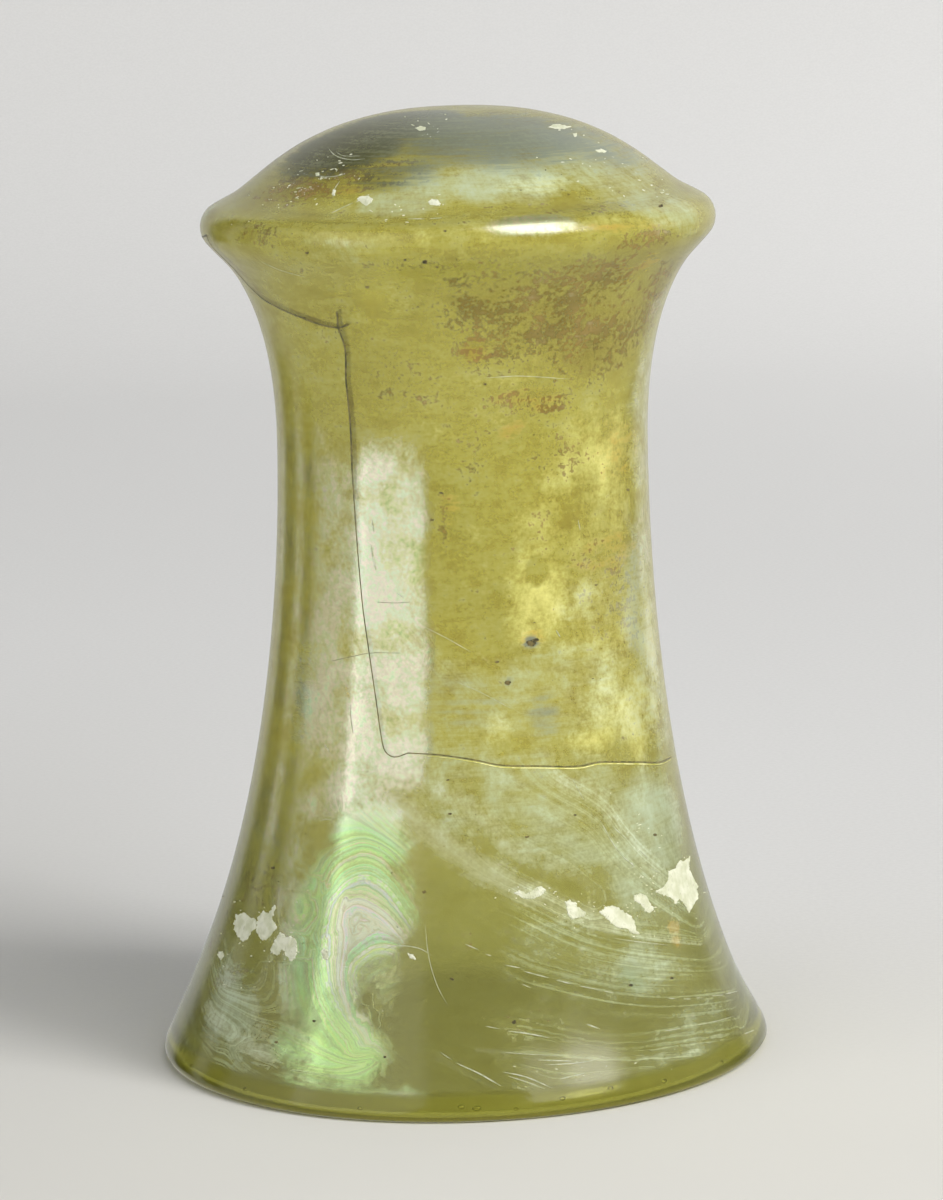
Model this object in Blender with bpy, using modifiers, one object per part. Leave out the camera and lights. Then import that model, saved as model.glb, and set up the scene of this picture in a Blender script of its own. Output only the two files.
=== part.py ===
"""An ancient glass bell beaker: one blown piece, hollow and empty, standing on its mouth.

Metres, +Z up. The origin is the centre of the mouth, on the plane that the rim rests on.
The outline is turned about Z, and the body then leans a little to +X, as the blown piece does.
"""

import math

import bpy

# Heights above the rim's resting plane, and radii of the outside
RIDGE_HEIGHT = 0.0996
DOME_RISE = 0.0134
WAIST_BELOW_RIDGE = 0.0256
MOUTH_RADIUS = 0.0365
WAIST_RADIUS = 0.0220
RIDGE_RADIUS = 0.03035

# Walls, measured square to the surface
SIDE_WALL = 0.0016
CROWN_WALL = 0.0034
RIM_WALL = 0.0028

# The rounded rim, its thickened bead, and the flat that it has worn on its edge
RIM_FLAT = 0.0008
BEAD_HEIGHT = 0.006

# The hollow's own rounding behind the ridge
RIDGE_INNER_ROUND = 0.0013

# Directions of the outline where its curves meet, from the vertical or round the ridge
FLARE_ANGLE = math.radians(29.0)
RIDGE_UNDERSIDE = math.radians(50.0)
RIDGE_TOPSIDE = math.radians(70.0)

# How far each curve holds its direction, as a share of its own height or radius
FLARE_HOLD = 0.276
WAIST_HOLD_BELOW = 0.319
WAIST_HOLD_ABOVE = 0.286
UNDERSIDE_HOLD = 0.313
DOME_FOOT_HOLD = 0.19
CROWN_HOLD = 0.64

# The lean of the blown body: its axis passes these distances to +X of the mouth's centre
LEAN_AT_HALF_HEIGHT = 0.00156
LEAN_AT_CROWN = 0.00216
LEAN_SETTLES_OVER = 0.010

# Fineness of the facets
TURN_STEPS = 72
SIDE_STEPS = 9
UNDERSIDE_STEPS = 6
RIDGE_STEPS = 5
DOME_STEPS = 7
RIM_STEPS = 4

GLASS_COLOUR = (0.39, 0.37, 0.08, 1.0)
GLASS_ROUGHNESS = 0.12
GLASS_TRANSMISSION = 0.8
GLASS_IOR = 1.5

HEIGHT = RIDGE_HEIGHT + DOME_RISE
WAIST_HEIGHT = RIDGE_HEIGHT - WAIST_BELOW_RIDGE
RIDGE_ROUND = RIDGE_INNER_ROUND + SIDE_WALL
RIM_ROUND = (RIM_WALL - RIM_FLAT) / 2
FOOT_HEIGHT = RIM_ROUND * (1 + math.sin(FLARE_ANGLE))
FOOT_WALL = 2 * RIM_ROUND + RIM_FLAT * math.cos(FLARE_ANGLE)


def bezier(start, first, second, end, steps):
    """Points along a cubic curve, with the direction there, both as (radius, height)."""
    points = []
    for step in range(steps + 1):
        t = step / steps
        weights = ((1 - t) ** 3, 3 * t * (1 - t) ** 2, 3 * t * t * (1 - t), t ** 3)
        slopes = ((1 - t) ** 2, 2 * t * (1 - t), t * t)
        corners = (start, first, second, end)
        place = [sum(w * corner[axis] for w, corner in zip(weights, corners)) for axis in (0, 1)]
        run = [
            sum(s * (after[axis] - before[axis]) for s, before, after in zip(slopes, corners, corners[1:]))
            for axis in (0, 1)
        ]
        points.append((place, run))
    return points


def arc(centre, radius, first_angle, last_angle, steps):
    """Points round a circle in the (radius, height) plane, with the direction of travel there."""
    turn = math.copysign(1.0, last_angle - first_angle)
    points = []
    for step in range(steps + 1):
        angle = first_angle + (last_angle - first_angle) * step / steps
        place = [centre[0] + radius * math.cos(angle), centre[1] + radius * math.sin(angle)]
        points.append((place, [-turn * math.sin(angle), turn * math.cos(angle)]))
    return points


def offset(point, run, distance):
    """The point moved to the left of its direction of travel, which is into the hollow on the way up."""
    length = math.hypot(*run)
    return [point[0] - run[1] / length * distance, point[1] + run[0] / length * distance]


def side_wall_at(height):
    """The wall's thickness up the side: the bead above the rim's rounding thins out over its own height."""
    gone = min(1.0, max(0.0, (height - FOOT_HEIGHT) / BEAD_HEIGHT))
    return SIDE_WALL + (FOOT_WALL - SIDE_WALL) * (1 - gone) ** 2


def crown_wall_at(radius):
    """The wall's thickness over the dome, thickest at its middle."""
    out = min(1.0, radius / RIDGE_RADIUS)
    return CROWN_WALL + (SIDE_WALL - CROWN_WALL) * out * out


def outside_up():
    """The outside, from the top of the rim's rounding to the crown, as lists of (place, direction)."""
    rim_centre = (MOUTH_RADIUS - RIM_ROUND, RIM_ROUND)
    foot = arc(rim_centre, RIM_ROUND, 0.0, FLARE_ANGLE, 1)[-1][0]
    span = WAIST_HEIGHT - foot[1]
    side = bezier(
        foot,
        (foot[0] - FLARE_HOLD * span * math.tan(FLARE_ANGLE), foot[1] + FLARE_HOLD * span),
        (WAIST_RADIUS, WAIST_HEIGHT - WAIST_HOLD_BELOW * span),
        (WAIST_RADIUS, WAIST_HEIGHT),
        SIDE_STEPS,
    )
    ridge_centre = (RIDGE_RADIUS - RIDGE_ROUND, RIDGE_HEIGHT)
    ridge = arc(ridge_centre, RIDGE_ROUND, -RIDGE_UNDERSIDE, RIDGE_TOPSIDE, RIDGE_STEPS)
    meet = ridge[0][0]
    hold = UNDERSIDE_HOLD * WAIST_BELOW_RIDGE
    underside = bezier(
        (WAIST_RADIUS, WAIST_HEIGHT),
        (WAIST_RADIUS, WAIST_HEIGHT + WAIST_HOLD_ABOVE * WAIST_BELOW_RIDGE),
        (meet[0] - hold * math.sin(RIDGE_UNDERSIDE), meet[1] - hold * math.cos(RIDGE_UNDERSIDE)),
        meet,
        UNDERSIDE_STEPS,
    )
    leave = ridge[-1][0]
    hold = DOME_FOOT_HOLD * RIDGE_RADIUS
    dome = bezier(
        leave,
        (leave[0] - hold * math.sin(RIDGE_TOPSIDE), leave[1] + hold * math.cos(RIDGE_TOPSIDE)),
        (CROWN_HOLD * RIDGE_RADIUS, HEIGHT),
        (0.0, HEIGHT),
        DOME_STEPS,
    )
    return side, underside[1:], ridge[1:], dome[1:]


def beaker_outline():
    """The closed wall's outline: down the outside, round the rim and up the inside."""
    side, underside, ridge, dome = outside_up()
    outside = [place for place, run in side + underside + ridge + dome]
    inside = [offset(place, run, side_wall_at(place[1])) for place, run in side[1:]]
    inside += [offset(place, run, SIDE_WALL) for place, run in underside + ridge]
    inside += [offset(place, run, crown_wall_at(place[0])) for place, run in dome]
    outer_centre = (MOUTH_RADIUS - RIM_ROUND, RIM_ROUND)
    inner_centre = (outer_centre[0] - RIM_FLAT, RIM_ROUND)
    rim_outer = arc(outer_centre, RIM_ROUND, FLARE_ANGLE, -math.pi / 2, RIM_STEPS)[1:]
    rim_inner = arc(inner_centre, RIM_ROUND, -math.pi / 2, FLARE_ANGLE - math.pi, RIM_STEPS - 1)
    rim = [place for place, run in rim_outer + rim_inner]
    return outside[::-1] + rim + inside


def turned(name, outline):
    """A solid of revolution about Z from an outline at +X."""
    mesh = bpy.data.meshes.new(name)
    points = [(radius, 0.0, height) for radius, height in outline]
    mesh.from_pydata(points, [(i, i + 1) for i in range(len(points) - 1)], [])
    solid = bpy.data.objects.new(name, mesh)
    screw = solid.modifiers.new("Turn", "SCREW")
    screw.axis = "Z"
    screw.angle = math.tau
    screw.steps = TURN_STEPS
    screw.render_steps = TURN_STEPS
    screw.use_merge_vertices = True
    screw.merge_threshold = 0.00001
    return solid


def lean_at(height):
    """How far the axis has moved to +X at a height, and its slope there: a parabola from the mouth."""
    up = height / HEIGHT
    first = 4 * LEAN_AT_HALF_HEIGHT - LEAN_AT_CROWN
    second = LEAN_AT_CROWN - first
    return first * up + second * up * up, (first + 2 * second * up) / HEIGHT


def lean_over(solid):
    """Leans the turned solid along its axis and tips each ring with it. The rim stays flat."""
    graph = bpy.context.evaluated_depsgraph_get()
    mesh = bpy.data.meshes.new_from_object(solid.evaluated_get(graph))
    solid.modifiers.clear()
    solid.data = mesh
    for vertex in mesh.vertices:
        across, _, height = vertex.co
        shift, slope = lean_at(height)
        settled = min(1.0, height / LEAN_SETTLES_OVER)
        vertex.co.x += shift
        vertex.co.z -= slope * across * settled


def glass():
    """Olive glass, weathered to a soft gloss."""
    material = bpy.data.materials.new("Olive glass")
    material.use_nodes = True
    shader = material.node_tree.nodes["Principled BSDF"]
    shader.inputs["Base Color"].default_value = GLASS_COLOUR
    shader.inputs["Roughness"].default_value = GLASS_ROUGHNESS
    shader.inputs["Metallic"].default_value = 0.0
    shader.inputs["Transmission Weight"].default_value = GLASS_TRANSMISSION
    shader.inputs["IOR"].default_value = GLASS_IOR
    material.diffuse_color = GLASS_COLOUR
    return material


def clear_scene():
    for thing in list(bpy.data.objects):
        bpy.data.objects.remove(thing, do_unlink=True)


def main():
    clear_scene()
    collection = bpy.data.collections.new("Glass bell beaker")
    bpy.context.scene.collection.children.link(collection)
    beaker = turned("beaker", beaker_outline())
    collection.objects.link(beaker)
    lean_over(beaker)
    beaker.data.materials.append(glass())
    beaker.data.shade_smooth()
    beaker.data.set_sharp_from_angle(angle=math.radians(40.0))


main()
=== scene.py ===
"""The looks of an ancient glass bell beaker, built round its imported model. Metres, +Z up."""

import functools
import math
import random
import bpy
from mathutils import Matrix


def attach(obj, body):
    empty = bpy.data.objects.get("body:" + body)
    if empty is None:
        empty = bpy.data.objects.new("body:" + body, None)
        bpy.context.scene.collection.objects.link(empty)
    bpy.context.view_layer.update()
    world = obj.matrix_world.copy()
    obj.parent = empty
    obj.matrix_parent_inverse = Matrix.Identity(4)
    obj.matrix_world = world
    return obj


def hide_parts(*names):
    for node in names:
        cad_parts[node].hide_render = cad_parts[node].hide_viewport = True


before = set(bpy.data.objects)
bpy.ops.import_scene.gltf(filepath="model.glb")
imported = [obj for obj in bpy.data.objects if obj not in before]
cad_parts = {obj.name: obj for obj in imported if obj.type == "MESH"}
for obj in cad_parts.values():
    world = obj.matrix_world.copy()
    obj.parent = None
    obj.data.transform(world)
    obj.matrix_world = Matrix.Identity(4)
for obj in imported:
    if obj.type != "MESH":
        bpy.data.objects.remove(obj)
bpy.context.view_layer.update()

import types

import bpy
import numpy as np
from mathutils import Matrix, Vector, noise

bl_info = {
    "name": "Glass Bell Beaker",
    "version": (1, 0, 0),
    "blender": (4, 5, 0),
    "location": "3D View > Sidebar > Beaker",
    "description": "Makes a weathered glass bell beaker and the studio it stands in",
    "category": "Add Mesh",
}

BODY = "root"
NODE = "beaker"
MM = 0.001

# Points nearer than this are one point, in the section and where the turned sectors meet
SAME_POINT = 0.001 * MM
SAME_SEAM = 0.004 * MM

# What counts as nothing, and as no turn between two sides
TINY = 1e-9
PARALLEL = 1e-12

# The stage's picture in pixels, the sensor's long side in millimetres, and the glass's scale in the picture
PICTURE = (943, 1200)
SENSOR = 36.0
PIXELS_PER_MM = 8.37

# One degree round the glass is about this many millimetres, which puts angles and heights on one measure
MM_PER_DEGREE = 0.45

# Reading the section: how far under the crown the inside's top can lie, how many points beside the crown are
# passed over, how much longer a facet may be inside, and how far from the axis the lean can be read
CROWN_DEPTH = 0.02
CROWN_POINTS = 5
INSIDE_COARSENESS = 2.2
NEAR_AXIS = 1 * MM
LEAN_READ_FROM = 3 * MM
CLEAR_OF_FLOOR = 0.02 * MM
CURVE_STEP = 0.3 * MM

# Finding a spot of the picture on the glass: trial steps, and the longest step of a round
TRIAL_TURN = 0.2
TRIAL_RISE = 0.1 * MM
LONGEST_TURN = 0.6
LONGEST_RISE = 0.3 * MM
OUT_OF_SIGHT = 1e9

# How proud of the glass each kind of mark stands, and how deep the cracks go
CRACK_PROUD = 0.01 * MM
BREAK_PROUD = 0.02 * MM
BREAK_DEPTH = 1.4 * MM
CRACK_DEPTH = 0.5 * MM
PIT_THICKNESS = 0.03 * MM
SPECK_PROUD = 0.015 * MM
SPECK_THICKNESS = 0.02 * MM
SPECK_MISS = 0.3
BUBBLE_DEPTH = 1 * MM


# Shader maths

class Wire:
    """A value that comes out of a node, so that shader maths reads as Python."""

    def __init__(self, finish, socket):
        self.finish = finish
        self.socket = socket

    def maths(self, operation, *values):
        return self.finish.node("ShaderNodeMath", {"operation": operation}, dict(enumerate(values)))

    def __add__(self, other):
        return self.maths("ADD", self, other)

    def __radd__(self, other):
        return self.maths("ADD", other, self)

    def __sub__(self, other):
        return self.maths("SUBTRACT", self, other)

    def __rsub__(self, other):
        return self.maths("SUBTRACT", other, self)

    def __mul__(self, other):
        return self.maths("MULTIPLY", self, other)

    def __rmul__(self, other):
        return self.maths("MULTIPLY", other, self)

    def __abs__(self):
        return self.maths("ABSOLUTE", self)

    def most(self, other):
        return self.maths("MAXIMUM", self, other)

    def least(self, other):
        return self.maths("MINIMUM", self, other)

    def rise(self, low, high):
        """0 below low, 1 above high, with a soft climb between. It falls instead where low is above high."""
        settings = {"interpolation_type": "SMOOTHSTEP", "clamp": True}
        ends = (0.0, 1.0)
        if low > high:
            low, high, ends = high, low, (1.0, 0.0)
        sockets = {"Value": self, "From Min": low, "From Max": high, "To Min": ends[0], "To Max": ends[1]}
        return self.finish.node("ShaderNodeMapRange", settings, sockets)


class Finish:
    """A material, or the room's light, in the making."""

    def __init__(self, holder, coordinates="Object"):
        self.holder = holder
        self.holder.use_nodes = True
        self.tree = self.holder.node_tree
        self.tree.nodes.clear()
        self.place = self.node("ShaderNodeTexCoord", out=coordinates)

    def node(self, kind, settings=None, sockets=None, out=0):
        """Adds a node with its settings and socket values, and gives one of its outputs."""
        made = self.tree.nodes.new(kind)
        for name, value in (settings or {}).items():
            if name == "stops":
                self.set_stops(made.color_ramp, value)
            else:
                setattr(made, name, value)
        for name, value in (sockets or {}).items():
            if isinstance(value, Wire):
                self.tree.links.new(value.socket, made.inputs[name])
            else:
                made.inputs[name].default_value = value
        return Wire(self, made.outputs[out])

    @staticmethod
    def set_stops(ramp, stops):
        while len(ramp.elements) > 1:
            ramp.elements.remove(ramp.elements[-1])
        for number, (position, colour) in enumerate(stops):
            stop = ramp.elements[0] if number == 0 else ramp.elements.new(position)
            stop.position = position
            stop.color = colour

    def axes(self):
        """The three parts of the place."""
        parts = self.node("ShaderNodeSeparateXYZ", None, {0: self.place}).socket.node
        return [Wire(self, socket) for socket in parts.outputs]

    def grain(self, scale, detail=3.0, roughness=0.55, where=None):
        """Soft noise with about this many lumps a metre."""
        sockets = {"Vector": where or self.place, "Scale": scale, "Detail": detail, "Roughness": roughness}
        return self.node("ShaderNodeTexNoise", None, sockets, "Fac")

    def drawn_out(self, first, second, third):
        """Noise in coordinates of its own, which draw it out along the glass."""
        where = self.node("ShaderNodeCombineXYZ", None, {0: first, 1: second, 2: third})
        return self.grain(1.0, 4.0, 0.7, where)

    def field(self, name):
        """One of the fields laid on the glass's own vertices."""
        return self.node("ShaderNodeAttribute", {"attribute_name": name}, out="Fac")

    def blend(self, share, under, over):
        """One colour over another."""
        return self.node("ShaderNodeMix", {"data_type": "RGBA"}, {"Factor": share, 6: under, 7: over}, 2)

    def ramp(self, value, stops):
        return self.node("ShaderNodeValToRGB", {"stops": stops}, {"Fac": value}, "Color")

    def bump(self, height, distance):
        return self.node("ShaderNodeBump", None, {"Height": height, "Distance": distance}, "Normal")

    def surface(self, **sockets):
        titles = {name: name.replace("_", " ").title().replace("Ior", "IOR") for name in sockets}
        named = {titles[name]: value for name, value in sockets.items()}
        return self.node("ShaderNodeBsdfPrincipled", None, named, "BSDF")

    def layered(self, share, under, over):
        return self.node("ShaderNodeMixShader", None, {"Fac": share, 1: under, 2: over}, "Shader")

    def done(self, surface, volume=None, output="ShaderNodeOutputMaterial"):
        """Joins the finish to its output, and gives the material or the world that holds it."""
        made = self.tree.nodes.new(output)
        self.tree.links.new(surface.socket, made.inputs["Surface"])
        if volume:
            self.tree.links.new(volume.socket, made.inputs["Volume"])
        return self.holder


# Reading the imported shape

def alone(piece):
    """Makes the piece the only one selected, and the active one."""
    bpy.ops.object.select_all(action="DESELECT")
    piece.select_set(True)
    bpy.context.view_layer.objects.active = piece


def section_of(node):
    """The node cut along y = 0, as the points of its closed outline in order, from the crown towards +X."""
    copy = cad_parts[node].copy()
    copy.data = copy.data.copy()
    bpy.context.scene.collection.objects.link(copy)
    copy.parent = None
    alone(copy)
    bpy.ops.object.mode_set(mode="EDIT")
    bpy.ops.mesh.select_all(action="SELECT")
    bpy.ops.mesh.remove_doubles(threshold=SAME_POINT)
    bpy.ops.mesh.bisect(
        plane_co=(0, 0, 0), plane_no=(0, 1, 0), clear_inner=True, clear_outer=True, threshold=SAME_POINT
    )
    bpy.ops.object.mode_set(mode="OBJECT")
    places = [vertex.co.copy() for vertex in copy.data.vertices]
    beside = {number: [] for number in range(len(places))}
    for edge in copy.data.edges:
        first, second = edge.vertices
        beside[first].append(second)
        beside[second].append(first)
    bpy.data.objects.remove(copy, do_unlink=True)
    if any(len(near) != 2 for near in beside.values()):
        raise RuntimeError("the packed beaker's section isn't one closed outline")
    crown = max(beside, key=lambda number: places[number].z)
    chain = [crown, max(beside[crown], key=lambda number: places[number].x)]
    while True:
        ahead = [number for number in beside[chain[-1]] if number != chain[-2]]
        if ahead[0] == crown:
            break
        chain.append(ahead[0])
    return [(places[number].x, places[number].z) for number in chain]


def curve_through(points, longest):
    """A smooth curve through the points, with none of its own further apart than longest."""
    points = [np.array(point, float) for point in points]
    ends = [2 * points[0] - points[1]] + points + [2 * points[-1] - points[-2]]
    finer = []
    for before, first, second, after in zip(ends, ends[1:], ends[2:], ends[3:]):
        length = np.linalg.norm(second - first)
        start = (second - before) / max(np.linalg.norm(second - before), TINY) * length
        end = (after - first) / max(np.linalg.norm(after - first), TINY) * length
        cuts = max(1, math.ceil(length / longest))
        for cut in range(cuts):
            t = cut / cuts
            finer.append(
                first * (2 * t**3 - 3 * t**2 + 1)
                + start * (t**3 - 2 * t**2 + t)
                + second * (3 * t**2 - 2 * t**3)
                + end * (t**3 - t**2)
            )
    finer.append(points[-1])
    return np.array(finer)


def lengths_along(points):
    return np.concatenate([[0.0], np.cumsum(np.linalg.norm(np.diff(points, axis=0), axis=1))])


class Shape:
    """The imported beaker's outline, set upright again, and the places on its glass."""

    def __init__(self, fineness):
        points = np.array(section_of(NODE))
        order = np.arange(len(points))
        inner_top = (points[:, 1] > points[0, 1] - CROWN_DEPTH) & (order > CROWN_POINTS)
        inner_top &= order < len(points) - CROWN_POINTS
        middle = max(np.flatnonzero(inner_top), key=lambda number: points[number, 1])
        right, left = points[: middle + 1], np.vstack([points[:1], points[:middle - 1 : -1]])
        self.outside, self.inside = [], []
        stretches = [self.stretches(side) for side in (right, left)]
        for number, (here, there) in enumerate(zip(*stretches)):
            longest = fineness if number == 0 else INSIDE_COARSENESS * fineness
            steps = math.ceil(lengths_along(here)[-1] / longest)
            shares = np.linspace(0, 1, steps + 1)
            right_side, left_side = (self.at_shares(stretch, shares) for stretch in (here, there))
            radius = (right_side[:, 0] - left_side[:, 0]) / 2
            height = (right_side[:, 1] + left_side[:, 1]) / 2
            shift = (right_side[:, 0] + left_side[:, 0]) / 2
            drop = (right_side[:, 1] - left_side[:, 1]) / 2
            tip = np.where(radius > NEAR_AXIS, drop / np.maximum(radius, NEAR_AXIS), 0)
            rows = np.column_stack([radius, height, shift, tip])
            (self.outside if number == 0 else self.inside).append(rows)
        self.outside = self.outside[0]
        self.inside = np.vstack([self.inside[0][:-1], self.inside[1]])
        self.outside[0, 0] = self.inside[-1, 0] = 0.0
        upward = self.outside[::-1]
        self.heights, self.radii = upward[:, 1], upward[:, 0]
        self.along = lengths_along(upward[:, :2])
        lean = self.outside[self.outside[:, 0] > LEAN_READ_FROM][::-1]
        self.lean_heights, self.lean_shift, self.lean_tip = lean[:, 1], lean[:, 2], lean[:, 3]

    @staticmethod
    def stretches(side):
        """One side of the section as three: the outside, the rim's flat, and the inside."""
        low = np.flatnonzero(side[:, 1] < CLEAR_OF_FLOOR)
        parts = (side[: low[0] + 1], side[low[0] : low[-1] + 1], side[low[-1] :])
        return [curve_through(part, CURVE_STEP) for part in parts]

    @staticmethod
    def at_shares(stretch, shares):
        along = lengths_along(stretch)
        return np.column_stack([np.interp(shares * along[-1], along, stretch[:, axis]) for axis in (0, 1)])

    def shift(self, height):
        return np.interp(height, self.lean_heights, self.lean_shift)

    def tip(self, height):
        return np.interp(height, self.lean_heights, self.lean_tip)

    def leaned(self, places):
        """Upright places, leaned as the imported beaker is."""
        leaned = places.copy()
        leaned[:, 2] += self.tip(places[:, 2]) * places[:, 0]
        leaned[:, 0] += self.shift(places[:, 2])
        return leaned

    def on_glass(self, angles, heights, out=0.0):
        """Places on the outside from angles in degrees and heights, moved out of the glass by a distance."""
        turns, heights = np.radians(np.atleast_1d(angles)), np.atleast_1d(heights).astype(float)
        levels = heights.copy()
        for _ in range(4):
            radii = np.interp(levels, self.heights, self.radii)
            levels = heights - self.tip(levels) * radii * np.sin(turns)
        span = 2 * CURVE_STEP
        shifts = (CURVE_STEP, -CURVE_STEP, 0)
        above, below, here = (np.interp(levels + shift, self.heights, self.radii) for shift in shifts)
        steep = np.hypot(above - below, span)
        radii = here + out * span / steep
        levels = levels - out * (above - below) / steep
        return self.leaned(np.column_stack([radii * np.sin(turns), -radii * np.cos(turns), levels]))


def chain_of_points(name, points):
    """A chain of edges, extruded from point to point. It leaves the piece in edit mode."""
    bpy.ops.object.select_all(action="DESELECT")
    bpy.ops.mesh.primitive_plane_add(size=MM)
    piece = bpy.context.object
    piece.name = piece.data.name = name
    bpy.ops.object.mode_set(mode="EDIT")
    bpy.ops.mesh.select_all(action="SELECT")
    bpy.ops.mesh.merge(type="CENTER")
    bpy.ops.transform.translate(value=points[0])
    for here, there in zip(points, points[1:]):
        bpy.ops.mesh.extrude_vertices_move(TRANSFORM_OT_translate={"value": there - here})
    return piece


def turn_round(steps, sectors):
    """Spins the outline in edit mode through one sector, copies the sector round, and joins them all."""
    bpy.ops.mesh.select_all(action="SELECT")
    bpy.ops.mesh.spin(steps=steps // sectors, angle=math.tau / sectors, center=(0, 0, 0), axis=(0, 0, 1))
    bpy.ops.mesh.select_all(action="SELECT")
    for _ in range(sectors - 1):
        bpy.ops.mesh.duplicate()
        bpy.ops.transform.rotate(value=math.tau / sectors, orient_axis="Z", center_override=(0, 0, 0))
    bpy.ops.mesh.select_all(action="SELECT")
    bpy.ops.mesh.remove_doubles(threshold=SAME_SEAM)


def positions_of(mesh):
    flat = np.empty(len(mesh.vertices) * 3, np.float32)
    mesh.vertices.foreach_get("co", flat)
    return flat.reshape(-1, 3).astype(float)


def move_to(mesh, places):
    mesh.vertices.foreach_set("co", places.astype(np.float32).ravel())
    mesh.update()


def glass_shell(shape, settings):
    """The whole wall, outside and inside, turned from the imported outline. It stands upright."""
    chain = np.vstack([shape.outside[:-1], shape.inside])
    points = [Vector((radius, 0.0, height)) for radius, height in chain[:, :2]]
    shell = chain_of_points("beaker_glass", points)
    turn_round(settings.turn_steps, 12)
    bpy.ops.mesh.normals_make_consistent(inside=False)
    bpy.ops.object.mode_set(mode="OBJECT")
    alone(shell)
    bpy.ops.object.shade_smooth()
    return shell


@functools.cache
def beaker_shape(fineness):
    return Shape(fineness)


# Where the stage's camera sees the glass

class Sight:
    """Turns spots of the stage's picture into places on the glass: an angle from the front and a height."""

    def __init__(self, shape, settings):
        self.shape = shape
        across, upward, ahead = camera_axes(settings)
        self.across, self.upward, self.ahead = np.array(across), np.array(upward), np.array(ahead)
        self.eye = np.array(settings.aim) - settings.distance * self.ahead
        self.focal = settings.lens / SENSOR * max(PICTURE)
        angles, heights = np.meshgrid(np.arange(-100.0, 100.5, 1.0), np.arange(0.3, 112.8, 0.5) * MM)
        self.angles, self.heights = angles.ravel(), heights.ravel()
        places = shape.on_glass(self.angles, self.heights)
        outward = shape.on_glass(self.angles, self.heights, 0.1 * MM) - places
        self.hidden = np.where(((self.eye - places) * outward).sum(1) > 0, 0.0, OUT_OF_SIGHT)
        self.spots = self.seen(places)

    def seen(self, places):
        """Where the places show in the picture, in pixels from its top left."""
        away = places - self.eye
        depth = away @ self.ahead
        right = PICTURE[0] / 2 + self.focal * (away @ self.across) / depth
        down = PICTURE[1] / 2 - self.focal * (away @ self.upward) / depth
        return np.column_stack([right, down])

    def find(self, spots):
        """The angles and heights where spots of the picture lie, found from the nearest of a grid."""
        spots = np.atleast_2d(np.array(spots, float))
        nearest = [np.argmin(((self.spots - spot) ** 2).sum(1) + self.hidden) for spot in spots]
        angles, heights = self.angles[nearest].copy(), self.heights[nearest].copy()
        for _ in range(4):
            here = self.seen(self.shape.on_glass(angles, heights))
            by_angle = (self.seen(self.shape.on_glass(angles + TRIAL_TURN, heights)) - here) / TRIAL_TURN
            by_height = (self.seen(self.shape.on_glass(angles, heights + TRIAL_RISE)) - here) / TRIAL_RISE
            miss = spots - here
            size = by_angle[:, 0] * by_height[:, 1] - by_angle[:, 1] * by_height[:, 0]
            size = np.where(np.abs(size) < 1.0, OUT_OF_SIGHT, size)
            turn = (miss[:, 0] * by_height[:, 1] - miss[:, 1] * by_height[:, 0]) / size
            rise = (by_angle[:, 0] * miss[:, 1] - by_angle[:, 1] * miss[:, 0]) / size
            angles += np.clip(turn, -LONGEST_TURN, LONGEST_TURN)
            heights += np.clip(rise, -LONGEST_RISE, LONGEST_RISE)
        return angles, np.clip(heights, 0.1 * MM, 112.9 * MM)


# Where the marks lie

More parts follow.
